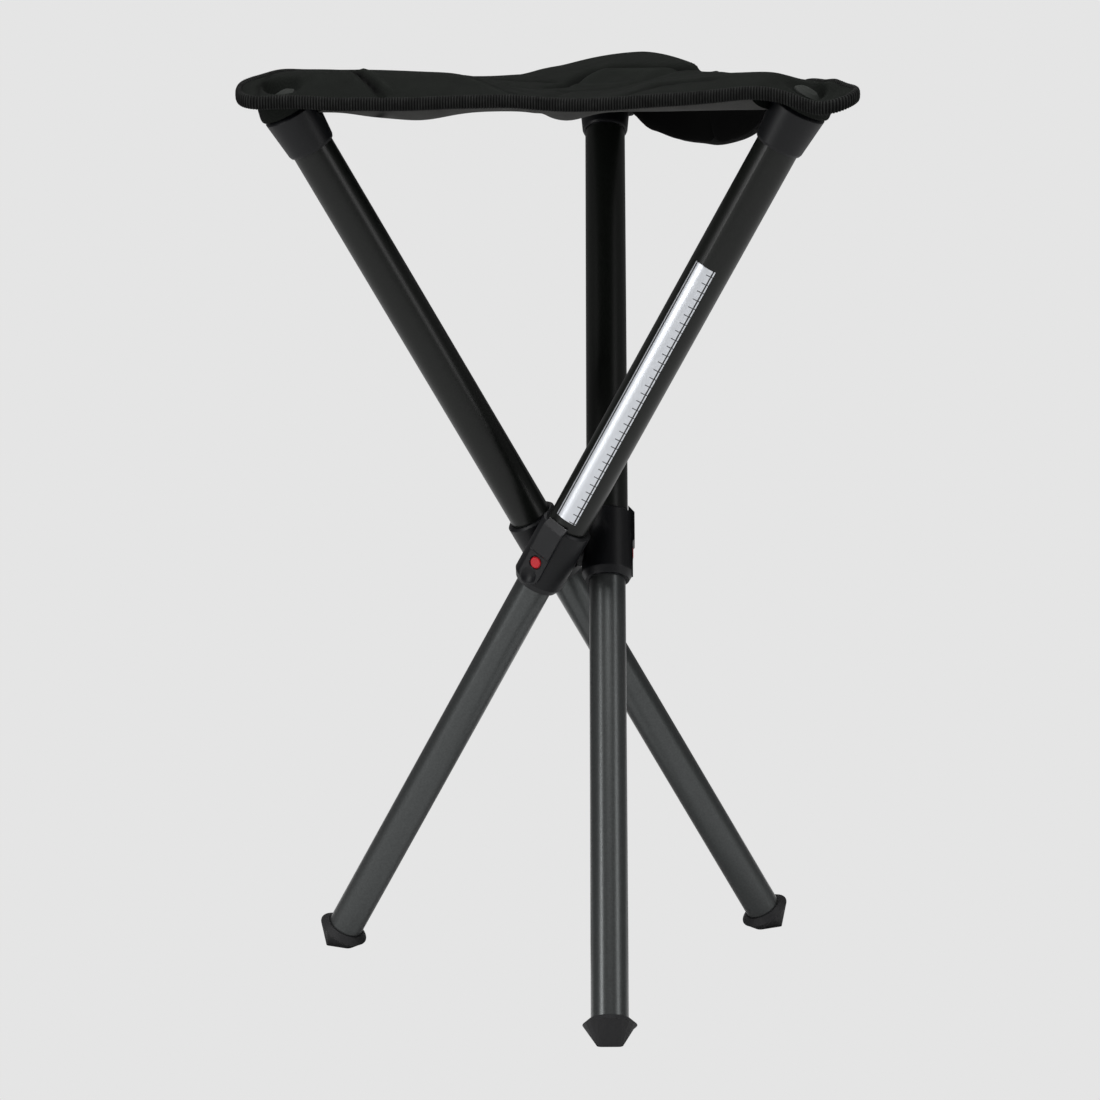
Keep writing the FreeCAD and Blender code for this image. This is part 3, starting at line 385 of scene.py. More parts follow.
class SeatForm:
    """Heights of the seat's cloth, through given rises, as smooth as a bent plate."""

    def __init__(self, sizes):
        self.sizes = sizes
        self.places = []
        self.rises = []
        front, out = edge_place("b", "a", sizes, 0)
        run = Vector((-out.y, out.x))
        for x, rise in FRONT_EDGE:
            self.add(front + run * ((x - front.x) / run.x), rise)
        for along, rise in LEFT_EDGE:
            self.add(edge_place("b", "c", sizes, along)[0], rise)
        for along, rise in RIGHT_EDGE:
            self.add(edge_place("c", "a", sizes, along)[0], rise)
        for x, y, rise in LEFT_LOBE + FRONT_LOBE + REAR_LOBE + TIPS:
            self.add(Vector((x, y)), rise)
        self.right_middle = edge_place("c", "a", sizes, 0)
        self.right_run = (edge_place("c", "a", sizes, 1)[0] - self.right_middle[0]).normalized()
        self.solve()

    def add(self, point, rise):
        """One place that the cloth passes through, or close by."""
        self.places.append((point.x, point.y))
        self.rises.append(rise)

    @staticmethod
    def bend(square):
        """A bent plate's rise, at a distance given by its square."""
        return 0.5 * square * np.log(np.maximum(square, 1e-9))

    def solve(self):
        """Finds the weights with which the plate passes close by the places."""
        places = np.array(self.places)
        count = len(places)
        gaps = ((places[:, None, :] - places[None, :, :]) ** 2).sum(axis=2)
        plane = np.column_stack([np.ones(count), places])
        system = np.zeros((count + 3, count + 3))
        system[:count, :count] = self.bend(gaps) + np.eye(count) * PLATE_EASE
        system[:count, count:] = plane
        system[count:, :count] = plane.T
        self.weights = np.linalg.solve(system, np.concatenate([self.rises, np.zeros(3)]))
        self.known = places

    def rise(self, x, y):
        """Rise of the cloth without its creases, with the flap."""
        square = ((self.known - (x, y)) ** 2).sum(axis=1)
        plate = self.weights[:-3] @ self.bend(square) + self.weights[-3:] @ (1, x, y)
        return float(plate) - self.flap(x, y)

    def flap(self, x, y):
        """How far the right edge's flap has dropped, most at the edge and none behind its fold."""
        place, out = self.right_middle
        across = Vector((x, y)) - place
        along = across.dot(self.right_run)
        marks, drops = zip(*FLAP_DROP)
        nearby = np.interp([along + step for step in FLAP_EVEN], marks, drops)
        return float(nearby.mean()) * smooth_share(across.dot(out), -FLAP_RUN, 0) ** FLAP_CURVE

    def height(self, x, y):
        """Height of the cloth's middle layer above the floor, in mm, at a place in the stool's frame."""
        return self.sizes.level + self.rise(x, y) + self.folds(x, y)[0]

    def folds(self, x, y):
        """Height of the slack cloth's creases and the left pocket's seam, and the painted shade and light
        along them.
        """
        height, tone = 0.0, 0.0
        for line, rise, width, shade in CREASES:
            if min(abs(x - mark[0]) + abs(y - mark[1]) for mark in line) > CREASE_NEAR:
                continue
            gap = math.inf
            for start, end in zip(line, line[1:]):
                run_x, run_y = end[0] - start[0], end[1] - start[1]
                share = ((x - start[0]) * run_x + (y - start[1]) * run_y) / (run_x * run_x + run_y * run_y)
                share = min(max(share, 0), 1)
                gap = min(gap, math.hypot(x - start[0] - run_x * share, y - start[1] - run_y * share))
            if gap < width * CREASE_REACH:
                to_end = min(math.hypot(x - end[0], y - end[1]) for end in (line[0], line[-1]))
                fade = smooth_share(to_end, 0, width * CREASE_FADE)
                height += rise * fade * math.exp(-(gap / width) ** 2)
                # Painted shade along the crease where its shade value is below 0, painted light where it is
                # above
                tone += shade * fade * math.exp(-(gap / width * SHADE_NARROW) ** 2)
        return height, tone

    def underside(self, x, y, from_edge):
        """Height of the lining, which hangs below the edge as a shallow pouch."""
        rise = self.rise(x, y)
        hang = HANG
        for place_x, place_y, depth, reach in BELLIES:
            hang -= depth * math.exp(-((x - place_x) ** 2 + (y - place_y) ** 2) / reach ** 2)
        share = 1 - math.exp(-max(from_edge, 0) / self.sizes.pouch_run)
        return self.sizes.level + between(rise, min(rise, hang + self.sizes.thick / 2), share)


# Half of a third's angle at the middle of the seat
HALF_THIRD = math.radians(60)


def edge_line(sizes):
    """Ends of half an edge in a corner's frame: where the corner's round ends, and the edge's middle."""
    start = Vector((sizes.corner_radius + sizes.corner_reach - sizes.corner_round, sizes.corner_round))
    middle = Vector((math.cos(HALF_THIRD), math.sin(HALF_THIRD))) * sizes.edge_inradius
    return start, middle


def edge_outward(sizes):
    """Outward direction of the edge on the positive Y side of a corner's frame."""
    start, middle = edge_line(sizes)
    along = (start - middle).normalized()
    return Vector((-along.y, along.x))


def edge_x(sizes, y):
    """X of the edge at a Y, in a corner's frame."""
    start, middle = edge_line(sizes)
    return between(start.x, middle.x, (abs(y) - start.y) / (middle.y - start.y))


def edge_half_width(sizes, x):
    """Y of the edge at an X, in a corner's frame."""
    start, middle = edge_line(sizes)
    return between(start.y, middle.y, (start.x - x) / (start.x - middle.x))


def pad_halves(sizes, from_edge, from_seam=math.inf):
    """Half thickness above and below the middle layer, thin at the tape.

    Beside a seam both dip, the lower one half as deep.
    """
    press = math.exp(-max(from_edge, 0) / sizes.edge_run)
    half = between(sizes.thick, sizes.edge_thick, press) / 2
    dip = sizes.seam_depth * math.exp(-(from_seam / sizes.seam_run) ** 2)
    return half - dip, half - dip * 0.5


def thicken(obj, place_top, place_bottom, form, lined):
    """Closes a level grid with a lower layer, and gives both layers their places and their cloth.

    Where it isn't lined, the lower layer is of the same cloth as the upper one. Where it is, the lower layer
    behind the front and under the flap gets near-black painted shade instead of the lining. Each point also
    gets the painted shade and light of the creases.
    """
    for material in (cloth_material(), lining_material(), painted_underside_shade_material()):
        obj.data.materials.append(material)
    select_only(obj)
    bpy.ops.object.mode_set(mode="EDIT")
    bpy.ops.mesh.select_all(action="SELECT")
    bpy.ops.mesh.extrude_region_move(TRANSFORM_OT_translate={"value": (0, 0, PARKED)})
    bpy.ops.object.mode_set(mode="OBJECT")
    for polygon in obj.data.polygons:
        polygon.material_index = LINING if polygon.center.z < PARKED * 0.9 else CLOTH
    for vertex in obj.data.vertices:
        place = place_top if vertex.co.z > PARKED / 2 else place_bottom
        vertex.co = Vector(place(vertex.co.x / MM, vertex.co.y / MM)) * MM
    bpy.ops.object.mode_set(mode="EDIT")
    bpy.ops.mesh.select_all(action="SELECT")
    bpy.ops.mesh.remove_doubles(threshold=MERGE * MM)
    bpy.ops.mesh.normals_make_consistent(inside=False)
    bpy.ops.object.mode_set(mode="OBJECT")
    for polygon in obj.data.polygons:
        x, y = polygon.center.x / MM, polygon.center.y / MM
        if polygon.material_index == LINING and not lined:
            polygon.material_index = CLOTH
        # Lined pieces take near-black painted shade on the underside behind the front and under the flap
        elif polygon.material_index == LINING and (y >= LINING_BACK or form.flap(x, y) >= LINING_FLAP):
            polygon.material_index = PAINTED_UNDERSIDE_SHADE
    # The painted shade and painted light of the creases, by which the cloth's colour is scaled
    tone = obj.data.attributes.new("crease_painted_light_and_shade", "FLOAT", "POINT")
    for index, vertex in enumerate(obj.data.vertices):
        tone.data[index].value = form.folds(vertex.co.x / MM, vertex.co.y / MM)[1]
    smooth(obj)


def build_third(leg, form, sizes):
    """One third of the seat, from the middle of the stool to its corner."""
    start, middle = edge_line(sizes)
    matrix = corner_matrix(leg)
    across_edge = edge_outward(sizes)

    def flat(u, v):
        y = between(-middle.y, middle.y, v)
        inner = abs(y) / math.tan(HALF_THIRD)
        return between(inner, min(sizes.panel_end, edge_x(sizes, y)), u), y, 0

    def layer(upper):
        def place(x, y):
            from_seam = (x - abs(y) / math.tan(HALF_THIRD)) * math.sin(HALF_THIRD)
            from_edge = abs((Vector((x, abs(y))) - start).dot(across_edge))
            above, below = pad_halves(sizes, from_edge, from_seam)
            world = matrix @ Vector((x, y, 0))
            if upper:
                world.z = form.height(world.x, world.y) + above
            else:
                world.z = form.underside(world.x, world.y, from_edge) - below
            return world
        return place

    obj = grid_mesh("seat_third_" + leg, sizes.along, sizes.across * 2, flat)
    thicken(obj, layer(True), layer(False), form, True)
    return obj


def cap_top(leg, x, y, reach):
    """Height of the level at a reach along the leg, and the distance from the leg's axis there."""
    frame_of_leg = leg_matrix(leg)
    centre = frame_of_leg @ Vector((0, 0, reach))
    axis = frame_of_leg.col[2].to_3d()
    z = centre.z - (axis.x * (x - centre.x) + axis.y * (y - centre.y)) / axis.z
    return z, (Vector((x, y, z)) - centre).length


def nose(leg, sizes, x):
    """How much longer one corner's rounded tip is than the plain plan, at a distance from the axis."""
    start = edge_line(sizes)[0]
    return NOSE[leg] * min(max((x - start.x) / sizes.corner_round, 0), 1)


def build_corner(leg, form, sizes):
    """The padded corner over a leg's cap: pressed down under the stud, and closed round the cap below."""
    start = edge_line(sizes)[0]
    matrix = corner_matrix(leg)
    tip = sizes.corner_radius + sizes.corner_reach

    def half_width(x):
        if x <= start.x:
            return edge_half_width(sizes, x)
        return math.sqrt(max(sizes.corner_round ** 2 - (x - start.x) ** 2, 0))

    def flat(u, v):
        x = between(sizes.panel_end, tip - TIP_SHORT, math.sin(u * math.pi / 2) ** TIP_CROWD)
        return x + nose(leg, sizes, x), between(-1, 1, v) * half_width(x), 0

    def layer(upper):
        def place(x, y):
            plain_x = x - nose(leg, sizes, x)
            from_edge = min(half_width(plain_x) - abs(y), tip - plain_x)
            above, below = pad_halves(sizes, from_edge)
            world = matrix @ Vector((x, y, 0))
            middle_height = form.height(world.x, world.y)
            if upper:
                under_stud, away = cap_top(leg, world.x, world.y, STUD_SEAT)
                world.z = between(under_stud, middle_height + above, smooth_share(away, *STUD_DISH))
            else:
                over_cap, away = cap_top(leg, world.x, world.y, CAP_TOP + CAP_GAP)
                world.z = between(over_cap, middle_height - below, smooth_share(away, *CAP_REST))
            return world
        return place

    obj = grid_mesh("seat_ear_" + leg, sizes.across, sizes.across, flat)
    thicken(obj, layer(True), layer(False), form, False)
    return obj


# How far in over the cloth the tape reaches, in mm, the powers that square its section outwards and upwards,
# and the steps to a rib, round the section, along half an edge, along a corner's side and round its tip
TAPE_INSIDE = -1.4
TAPE_SQUARE = (0.7, 0.8)
RIB_STEPS = 4
RING_STEPS = 14
EDGE_STEPS = 24
SIDE_STEPS = 8
TIP_STEPS = 16


def tape_ring(sizes, angle, groove):
    """A place on the tape's rounded section: how far out and how far up, from the cloth's edge."""
    out = sizes.tape_thick - groove
    half = sizes.tape_height / 2 - groove
    bulge = abs(math.cos(angle)) ** TAPE_SQUARE[0] * math.copysign(1, math.cos(angle))
    rise = abs(math.sin(angle)) ** TAPE_SQUARE[1] * math.copysign(1, math.sin(angle))
    return between(TAPE_INSIDE, out, (bulge + 1) / 2), half * rise


def build_tape(name, route, form, sizes):
    """Ribbed tape along a route of level places and outward directions."""
    lengths = [0.0]
    for (here, _), (following, _) in zip(route, route[1:]):
        lengths.append(lengths[-1] + (following - here).length)
    total = lengths[-1]
    ribs = round(total / sizes.rib_pitch)

    def at(distance):
        for index in range(len(lengths) - 1):
            if distance <= lengths[index + 1] or index == len(lengths) - 2:
                share = (distance - lengths[index]) / max(lengths[index + 1] - lengths[index], 1e-9)
                point = route[index][0].lerp(route[index + 1][0], share)
                return point, route[index][1].lerp(route[index + 1][1], share).normalized()

    def place(u, v):
        point, normal = at(u * total)
        wave = math.cos(u * ribs * 2 * math.pi)
        out, up = tape_ring(sizes, v * 2 * math.pi, sizes.rib_depth * (1 - wave) / 2)
        spot = point + normal * out
        return spot.x, spot.y, form.height(point.x, point.y) + up

    obj = grid_mesh(name, ribs * RIB_STEPS, RING_STEPS, place)
    for corner in obj.data.uv_layers.active.data:
        corner.uv.x *= ribs
    select_only(obj)
    bpy.ops.object.mode_set(mode="EDIT")
    bpy.ops.mesh.select_all(action="SELECT")
    bpy.ops.mesh.remove_doubles(threshold=MERGE * MM)
    bpy.ops.mesh.select_all(action="DESELECT")
    bpy.ops.mesh.select_non_manifold()
    bpy.ops.mesh.fill_holes(sides=0)
    bpy.ops.object.mode_set(mode="OBJECT")
    outwards(obj)
    smooth(obj, angle=70)
    obj.data.materials.append(tape_material())
    return obj


def edge_route(leg, side, sizes):
    """Level places along one free side of a third, from its corner to the edge's middle."""
    middle = edge_line(sizes)[1]
    matrix = corner_matrix(leg)
    outward = edge_outward(sizes)
    first = edge_half_width(sizes, sizes.panel_end)
    flat = []
    for step in range(EDGE_STEPS + 1):
        y = between(first, middle.y, step / EDGE_STEPS)
        flat.append((Vector((edge_x(sizes, y), y * side, 0)), Vector((outward.x, outward.y * side, 0))))
    return [(matrix @ point, matrix @ out) for point, out in flat]


def corner_route(leg, sizes):
    """Level places round a corner: one side, the rounded tip and the other side."""
    start = edge_line(sizes)[0]
    matrix = corner_matrix(leg)
    outward = edge_outward(sizes)
    lean = math.atan2(outward.y, outward.x)
    first = edge_half_width(sizes, sizes.panel_end)
    flat = []
    for step in range(SIDE_STEPS):
        y = between(first, start.y, step / SIDE_STEPS)
        flat.append((Vector((edge_x(sizes, y), y, 0)), Vector((outward.x, outward.y, 0))))
    for step in range(TIP_STEPS + 1):
        angle = between(lean, -lean, step / TIP_STEPS)
        out = Vector((math.cos(angle), math.sin(angle), 0))
        place = Vector((start.x, 0, 0)) + out * sizes.corner_round
        place.x += nose(leg, sizes, place.x)
        flat.append((place, out))
    for step in range(1, SIDE_STEPS + 1):
        y = -between(start.y, first, step / SIDE_STEPS)
        flat.append((Vector((edge_x(sizes, y), y, 0)), Vector((outward.x, -outward.y, 0))))
    return [(matrix @ point, matrix @ out) for point, out in flat]


# Materials

def colours():
    """The colours that the sidebar shows."""
    return bpy.context.scene.stool_colours


def tube_material(leg, name, code, roughness, metallic):
    """Aluminium tube, coated above and anodised below: a satin film with a fine metal grain.

    The grain speckles the grey and breaks up the streak of light. It is drawn much coarser than the real one,
    which is too fine to show.
    """
    material, tree = new_material(name + "_" + leg)
    if tree is None:
        return material
    spot = add_node(tree, "TexCoord")
    grain = add_node(tree, "TexNoise", {"Vector": spot.outputs["Object"], "Scale": per_mm(0.9), "Detail": 2})
    rough = add_node(tree, "MapRange", {
        "Value": grain.outputs["Fac"], "To Min": roughness - 0.01, "To Max": roughness + 0.02})
    dark, light = shades(code, 0.75, 1.25)
    colour = add_node(tree, "Mix", {"Factor": grain.outputs["Fac"], "A": dark, "B": light}, data_type="RGBA")
    shader = add_node(tree, "BsdfPrincipled", {
        "Base Color": colour.outputs["Result"], "Metallic": metallic, "Roughness": rough.outputs["Result"],
        "Specular IOR Level": 0.25})
    return finish_material(material, shader)


def plastic_material():
    """Glass-filled nylon: matt and bluish black, with the fine spark texture of a moulded part.

    The texture is drawn coarser than the real one. The bevel rounds the hard edges by 0.7 mm in the light.
    """
    material, tree = new_material("moulded_nylon")
    if tree is None:
        return material
    spot = add_node(tree, "TexCoord")
    grain = add_node(tree, "TexNoise", {"Vector": spot.outputs["Object"], "Scale": per_mm(2.6), "Detail": 2})
    edges = add_node(tree, "Bevel", {"Radius": 0.7 * MM}, samples=4)
    bump = add_node(tree, "Bump", {
        "Height": grain.outputs["Fac"], "Strength": 0.25, "Distance": 0.06 * MM,
        "Normal": edges.outputs["Normal"]})
    shader = add_node(tree, "BsdfPrincipled", {
        "Base Color": linear(colours().plastic), "Roughness": 0.42, "Specular IOR Level": 0.24,
        "Normal": bump.outputs["Normal"]})
    return finish_material(material, shader)


def plain_material(name, code, roughness, metallic=0.0, shine=0.5):
    """A smooth even surface with no pattern."""
    material, tree = new_material(name)
    if tree is None:
        return material
    shader = add_node(tree, "BsdfPrincipled", {
        "Base Color": linear(code), "Roughness": roughness, "Metallic": metallic,
        "Specular IOR Level": shine})
    return finish_material(material, shader)


def steel_material():
    """Bright spring steel: a clean metal shine."""
    return plain_material("spring_steel", colours().steel, 0.3, metallic=1.0)


def stud_material():
    """Matt moulded nylon: dark grey, with next to no shine."""
    return plain_material("matt_stud_moulding", colours().stud, 0.8, shine=0.1)


def button_material():
    """Moulded ABS: a full red with a soft highlight."""
    return plain_material("button_moulding", colours().button, 0.35, shine=0.3)


def rubber_material():
    """Moulded rubber: deep black and dull, with a slight bloom that is uneven over a millimetre or two."""
    material, tree = new_material("foot_rubber")
    if tree is None:
        return material
    spot = add_node(tree, "TexCoord")
    grain = add_node(tree, "TexNoise", {"Vector": spot.outputs["Object"], "Scale": per_mm(0.7), "Detail": 3})
    rough = add_node(tree, "MapRange", {"Value": grain.outputs["Fac"], "To Min": 0.55, "To Max": 0.75})
    shader = add_node(tree, "BsdfPrincipled", {
        "Base Color": linear(colours().rubber), "Roughness": rough.outputs["Result"],
        "Specular IOR Level": 0.35})
    return finish_material(material, shader)


def cloth_like(name, code, pitch, strength):
    """Woven polyester: crossing threads as a fine relief, darker in the gaps, with almost no shine.

    The thread spacing, in mm, is drawn coarser than the real one. Thicker threads show as patches of about
    11 mm, and the painted shade and painted light along the creases come from an attribute on the mesh.
    """
    material, tree = new_material(name)
    if tree is None:
        return material
    spot = add_node(tree, "TexCoord")
    turned = add_node(tree, "Mapping", {
        "Vector": spot.outputs["Object"], "Rotation": (0, 0, math.radians(22))})
    # A wave node at a scale of 1 draws its bands a twentieth of 2 pi apart
    threads = {
        "Vector": turned.outputs["Vector"], "Scale": 1 / (pitch * MM) / 20 * math.pi * 2, "Distortion": 0.4}
    warp = add_node(tree, "TexWave", threads, bands_direction="X")
    weft = add_node(tree, "TexWave", threads, bands_direction="Y")
    weave = add_node(tree, "Math", {0: warp.outputs["Fac"], 1: weft.outputs["Fac"]}, operation="MULTIPLY")
    slub = add_node(tree, "TexNoise", {"Vector": spot.outputs["Object"], "Scale": per_mm(0.09), "Detail": 3})
    shade = add_node(tree, "Math", {0: weave.outputs[0], 1: slub.outputs["Fac"]}, operation="ADD")
    dark, light = shades(code, 0.55, 1.25)
    colour = add_node(tree, "Mix", {"Factor": shade.outputs[0], "A": dark, "B": light}, data_type="RGBA")
    # Painted shade and painted light along the creases scale the woven colour
    painted_crease_light_and_shade = add_node(tree, "Attribute", attribute_name="crease_painted_light_and_shade")
    painted_shade_gain = add_node(tree, "MapRange", {
        "Value": painted_crease_light_and_shade.outputs["Fac"], "From Min": -1.0, "From Max": 1.0, "To Min": 0.05, "To Max": 1.95})
    with_painted_shade = add_node(tree, "VectorMath", {
        0: colour.outputs["Result"], "Scale": painted_shade_gain.outputs["Result"]}, operation="SCALE")
    bump = add_node(tree, "Bump", {"Height": weave.outputs[0], "Strength": strength, "Distance": 0.2 * MM})
    shader = add_node(tree, "BsdfPrincipled", {
        "Base Color": with_painted_shade.outputs["Vector"], "Roughness": 0.8, "Specular IOR Level": 0.05,
        "Normal": bump.outputs["Normal"]})
    return finish_material(material, shader)


def cloth_material():
    """The seat's black cloth."""
    return cloth_like("polyester_cloth", colours().cloth, 0.9, 0.5)


def lining_material():
    """The grey cloth of the seat's underside, woven finer."""
    return cloth_like("lining_cloth", colours().lining, 0.6, 0.3)


def painted_underside_shade_material():
    """Painted shade on the seat's underside: even and near black, with no thread showing."""
    return plain_material("underside_painted_shade", colours().painted_underside_shade, 0.75, shine=0.03)


def tape_material():
    """Grosgrain tape: modelled ribs, with a painted highlight on their crests, uneven in patches of about 4
    mm.

    Painted shade keeps the grooves between them black.
    """
    material, tree = new_material("grosgrain_tape")
    if tree is None:
        return material
    spot = add_node(tree, "TexCoord")
    parts = add_node(tree, "SeparateXYZ", {"Vector": spot.outputs["UV"]})
    # Painted highlight along the ribs' crests and painted shade in the grooves, in step with the modelled
    # ribs
    turn = add_node(tree, "Math", {0: parts.outputs["X"], 1: 2 * math.pi}, operation="MULTIPLY")
    wave = add_node(tree, "Math", {0: turn.outputs[0]}, operation="COSINE")
    painted_crest_highlight = add_node(tree, "MapRange", {"Value": wave.outputs[0], "From Min": -0.7, "From Max": 1.0})
    highlight_patches = add_node(tree, "TexNoise", {"Vector": spot.outputs["Object"], "Scale": per_mm(0.24), "Detail": 3})
    light = add_node(tree, "Math", {0: painted_crest_highlight.outputs["Result"], 1: highlight_patches.outputs["Fac"]}, operation="MULTIPLY")
    colour = add_node(tree, "Mix", {
        "Factor": light.outputs[0], "A": linear(colours().groove), "B": linear(colours().tape)},
        data_type="RGBA")
    shader = add_node(tree, "BsdfPrincipled", {
        "Base Color": colour.outputs["Result"], "Roughness": 0.7, "Specular IOR Level": 0.05})
    return finish_material(material, shader)


# Degrees round the tube: the label's middle, and from there the border line's two sides and the ticks' start
LABEL_ANGLES = (9.7, 24, 28, 12)

# The ticks' spacing in mm, and the share of it that a tick fills
TICK_PITCH = 5
TICK_SHARE = 0.1


def foil_material(leg):
    """Satin foil: a pale metal shine with a fine grain, a dark line beside each edge and a ruler's ticks.

    The grain is drawn coarser than the real one.
    """
    material, tree = new_material("bare_foil")
    if tree is None:
        return material
    spot = add_node(tree, "TexCoord")
    matrix = leg_matrix(leg)
    back = matrix.to_3x3().transposed()
    own = add_node(tree, "Mapping", {
        "Vector": spot.outputs["Object"], "Rotation": back.to_euler(),
        "Location": -(back @ matrix.translation) * MM})
    parts = add_node(tree, "SeparateXYZ", {"Vector": own.outputs["Vector"]})
    middle, inner, outer, ticks_from = (math.radians(angle) for angle in LABEL_ANGLES)
    bearing = add_node(tree, "Math", {0: parts.outputs["Y"], 1: parts.outputs["X"]}, operation="ARCTAN2")
    aside = add_node(tree, "Math", {0: bearing.outputs[0], 1: middle}, operation="SUBTRACT")
    away = add_node(tree, "Math", {0: aside.outputs[0]}, operation="ABSOLUTE")
    past = add_node(tree, "Math", {0: away.outputs[0], 1: inner}, operation="GREATER_THAN")
    within = add_node(tree, "Math", {0: away.outputs[0], 1: outer}, operation="LESS_THAN")
    border = add_node(tree, "Math", {0: past.outputs[0], 1: within.outputs[0]}, operation="MULTIPLY")
    cell = add_node(tree, "Math", {0: parts.outputs["Z"], 1: TICK_PITCH * MM}, operation="DIVIDE")
    fraction = add_node(tree, "Math", {0: cell.outputs[0]}, operation="FRACT")
    tick = add_node(tree, "Math", {0: fraction.outputs[0], 1: TICK_SHARE}, operation="LESS_THAN")
    side = add_node(tree, "Math", {0: aside.outputs[0], 1: ticks_from}, operation="GREATER_THAN")
    ticks = add_node(tree, "Math", {0: tick.outputs[0], 1: side.outputs[0]}, operation="MULTIPLY")
    ink = add_node(tree, "Math", {0: ticks.outputs[0], 1: border.outputs[0]}, operation="MAXIMUM")
    colour = add_node(tree, "Mix", {
        "Factor": ink.outputs[0], "A": linear(colours().foil), "B": linear(colours().ink)}, data_type="RGBA")
    grain = add_node(tree, "TexNoise", {"Vector": own.outputs["Vector"], "Scale": per_mm(1.5)})
    rough = add_node(tree, "MapRange", {"Value": grain.outputs["Fac"], "To Min": 0.28, "To Max": 0.42})
    metal = add_node(tree, "MapRange", {"Value": ink.outputs[0], "To Min": 0.75, "To Max": 0.0})
    shader = add_node(tree, "BsdfPrincipled", {
        "Base Color": colour.outputs["Result"], "Metallic": metal.outputs["Result"],
        "Roughness": rough.outputs["Result"]})
    return finish_material(material, shader)


def dress(node, material):
    """Gives a CAD node its one material."""
    obj = frame["nodes"][node]
    obj.data.materials.clear()
    obj.data.materials.append(material)


# Operators, one to a piece or group

class STOOL_OT_metal(bpy.types.Operator):
    """Finish the tubes, springs and screws"""
    bl_idname = "stool.metal"
    bl_label = "Metal parts"

    def execute(self, context):
        look = colours()
        for leg in LEGS:
            dress("outer_tube_" + leg, tube_material(leg, "dark_coated_tube", look.tube, 0.31, 0.0))
            dress("inner_tube_" + leg, tube_material(leg, "grey_anodised_tube", look.lower_tube, 0.3, 0.75))
            dress("latch_spring_" + leg, steel_material())
        dress("pivot_screws", steel_material())
        return {"FINISHED"}


class STOOL_OT_mouldings(bpy.types.Operator):
    """Finish the collars, caps, studs, plugs and buttons"""
    bl_idname = "stool.mouldings"
    bl_label = "Moulded parts"

    def execute(self, context):
        for leg in LEGS:
            for kind in ("collar_", "top_cap_", "glide_plug_"):
                dress(kind + leg, plastic_material())
            dress("corner_stud_" + leg, stud_material())
            dress("release_button_" + leg, button_material())
        dress("hub_core", plastic_material())
        return {"FINISHED"}


class STOOL_OT_feet(bpy.types.Operator):
    """Finish the rubber feet"""
    bl_idname = "stool.feet"
    bl_label = "Feet"

    def execute(self, context):
        for leg in LEGS:
            dress("foot_" + leg, rubber_material())
        return {"FINISHED"}


class STOOL_OT_label(bpy.types.Operator):
    """Finish the bare foil label on the front leg"""
    bl_idname = "stool.label"
    bl_label = "Label"

    def execute(self, context):
        dress("size_label", foil_material("a"))
        return {"FINISHED"}


def gather(piece):
    """Gives a piece of the seat its own copy of its mesh."""
    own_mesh(piece)


class STOOL_OT_seat(bpy.types.Operator):
    """Build the padded thirds of the seat and the corners over the legs"""
    bl_idname = "stool.seat"
    bl_label = "Padded seat"

    def execute(self, context):
        sizes = context.scene.stool_seat
        form = SeatForm(sizes)
        for leg in LEGS:
            third = build_third(leg, form, sizes)
            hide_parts("seat_panel_" + leg)
            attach(third, "seat_third_" + leg)
            gather(third)
            ear = build_corner(leg, form, sizes)
            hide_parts("seat_corner_" + leg)
            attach(ear, "upper_leg_" + leg)
            gather(ear)
        return {"FINISHED"}


class STOOL_OT_tape(bpy.types.Operator):
    """Build the ribbed tape round the seat's edge"""
    bl_idname = "stool.tape"
    bl_label = "Edge tape"

    def execute(self, context):
        sizes = context.scene.stool_seat
        form = SeatForm(sizes)
        for leg in LEGS:
            for side, word in ((1, "left"), (-1, "right")):
                run = build_tape("edge_tape_%s_%s" % (word, leg), edge_route(leg, side, sizes), form, sizes)
                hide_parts("edge_binding_" + leg)
                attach(run, "seat_third_" + leg)
                gather(run)
            corner = build_tape("corner_tape_" + leg, corner_route(leg, sizes), form, sizes)
            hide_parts("corner_binding_" + leg)
            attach(corner, "upper_leg_" + leg)
            gather(corner)
        return {"FINISHED"}


# Each lamp: its name, its place and size in metres, the setting with its power, and its share of that
LAMPS = (
    ("overhead", (0.1, -0.6, 2.2), (0.56, 0.34), "overhead", 1.0),
    ("left_strip", (-1.7, -1.1, 0.9), (0.26, 1.6), "sides", 1.0),
    ("right_strip", (1.7, -0.9, 0.9), (0.5, 1.6), "sides", 0.5),
    ("behind", (-0.5, 2.0, 2.6), (1.4, 1.0), "behind", 1.0),
)

# The place that the lamps point at and the floor's width, in metres, and the camera's sensor, in mm
LAMP_TARGET = (0, 0, 0.3)
FLOOR_WIDTH = 12
SENSOR = 36


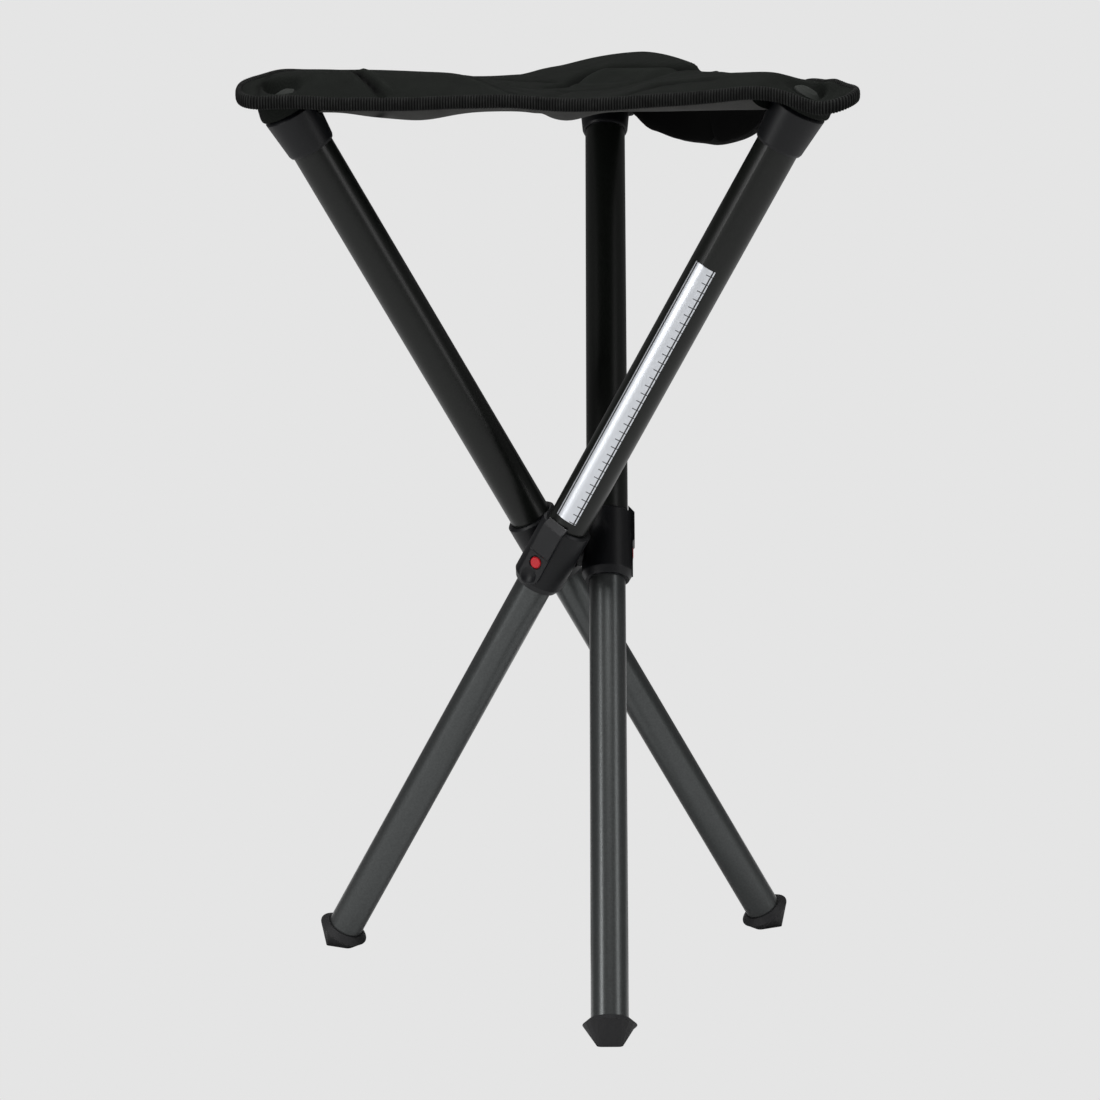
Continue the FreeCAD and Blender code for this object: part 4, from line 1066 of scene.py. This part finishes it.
class STOOL_OT_stage(bpy.types.Operator):
    """Set the floor, the soft lights and the camera"""
    bl_idname = "stool.stage"
    bl_label = "Studio"

    def execute(self, context):
        settings = context.scene.stool_stage
        deselect_all()
        bpy.ops.mesh.primitive_plane_add(size=FLOOR_WIDTH, location=(0, 0, 0))
        floor = context.object
        floor.name = "floor"
        tone = linear(settings.backdrop)
        material, tree = new_material("pale_floor")
        paths = add_node(tree, "LightPath")
        diffuse = add_node(tree, "BsdfDiffuse", {"Color": tone})
        glow = add_node(tree, "Emission", {"Color": tone, "Strength": 1.0})
        mix = add_node(tree, "MixShader", {
            0: paths.outputs["Is Camera Ray"], 1: diffuse.outputs[0], 2: glow.outputs[0]})
        floor.data.materials.append(finish_material(material, mix))
        self.world(settings, tone)
        for name, place, size, setting, share in LAMPS:
            self.lamp(name, place, size, getattr(settings, setting) * share)
        self.camera(settings)
        context.scene.view_settings.view_transform = "Standard"
        return {"FINISHED"}

    def world(self, settings, tone):
        """A dim even light round the stool, and the pale background that the camera sees."""
        world = bpy.data.worlds.new("studio")
        bpy.context.scene.world = world
        world.use_nodes = True
        tree = world.node_tree
        tree.nodes.clear()
        paths = add_node(tree, "LightPath")
        dim = add_node(tree, "Background", {"Color": (1, 1, 1, 1), "Strength": settings.fill})
        seen = add_node(tree, "Background", {"Color": tone, "Strength": 1.0})
        mix = add_node(tree, "MixShader", {
            0: paths.outputs["Is Camera Ray"], 1: dim.outputs[0], 2: seen.outputs[0]})
        add_node(tree, "OutputWorld", {"Surface": mix.outputs[0]})

    def lamp(self, name, place, size, power):
        """A soft rectangular lamp that points at the stool."""
        turn = (Vector(LAMP_TARGET) - Vector(place)).to_track_quat("-Z", "Y").to_euler()
        bpy.ops.object.light_add(type="AREA", location=place, rotation=turn)
        light = bpy.context.object
        light.name = name
        light.data.shape = "RECTANGLE"
        light.data.size, light.data.size_y = size
        light.data.energy = power

    def camera(self, settings):
        """The camera at its place, turned, tilted and rolled as the settings say."""
        yaw, pitch, roll = (math.radians(a) for a in (settings.yaw, settings.pitch, settings.roll))
        forward = Vector((math.sin(yaw) * math.cos(pitch), math.cos(yaw) * math.cos(pitch), math.sin(pitch)))
        side = forward.cross(Vector((0, 0, 1))).normalized()
        up = side.cross(forward)
        right = side * math.cos(roll) + up * math.sin(roll)
        top = up * math.cos(roll) - side * math.sin(roll)
        bpy.ops.object.camera_add(location=settings.place)
        obj = bpy.context.object
        obj.data.sensor_width = SENSOR
        obj.data.lens = settings.lens
        matrix = Matrix((right, top, -forward)).transposed().to_4x4()
        matrix.translation = Vector(settings.place)
        obj.matrix_world = matrix
        bpy.context.scene.camera = obj


class STOOL_PT_panel(bpy.types.Panel):
    bl_idname = "STOOL_PT_panel"
    bl_label = "Folding stool"
    bl_space_type = "VIEW_3D"
    bl_region_type = "UI"
    bl_category = "Stool"

    def draw(self, context):
        for operator in OPERATORS:
            self.layout.operator(operator.bl_idname)
        for group in (context.scene.stool_seat, context.scene.stool_colours, context.scene.stool_stage):
            box = self.layout.box()
            for name in group.bl_rna.properties.keys():
                if name not in ("rna_type", "name"):
                    box.prop(group, name)


GROUPS = (SeatSizes, LookColours, StageSettings)
OPERATORS = (STOOL_OT_metal, STOOL_OT_mouldings, STOOL_OT_feet, STOOL_OT_label, STOOL_OT_seat, STOOL_OT_tape,
             STOOL_OT_stage)


def register():
    for kind in GROUPS + OPERATORS + (STOOL_PT_panel,):
        bpy.utils.register_class(kind)
    bpy.types.Scene.stool_seat = PointerProperty(type=SeatSizes)
    bpy.types.Scene.stool_colours = PointerProperty(type=LookColours)
    bpy.types.Scene.stool_stage = PointerProperty(type=StageSettings)


def unregister():
    del bpy.types.Scene.stool_stage
    del bpy.types.Scene.stool_colours
    del bpy.types.Scene.stool_seat
    for kind in reversed(GROUPS + OPERATORS + (STOOL_PT_panel,)):
        bpy.utils.unregister_class(kind)


def main():
    register()
    bpy.ops.stool.metal()
    bpy.ops.stool.mouldings()
    bpy.ops.stool.feet()
    bpy.ops.stool.label()
    bpy.ops.stool.seat()
    bpy.ops.stool.tape()
    bpy.ops.stool.stage()


if __name__ == "__main__":
    main()
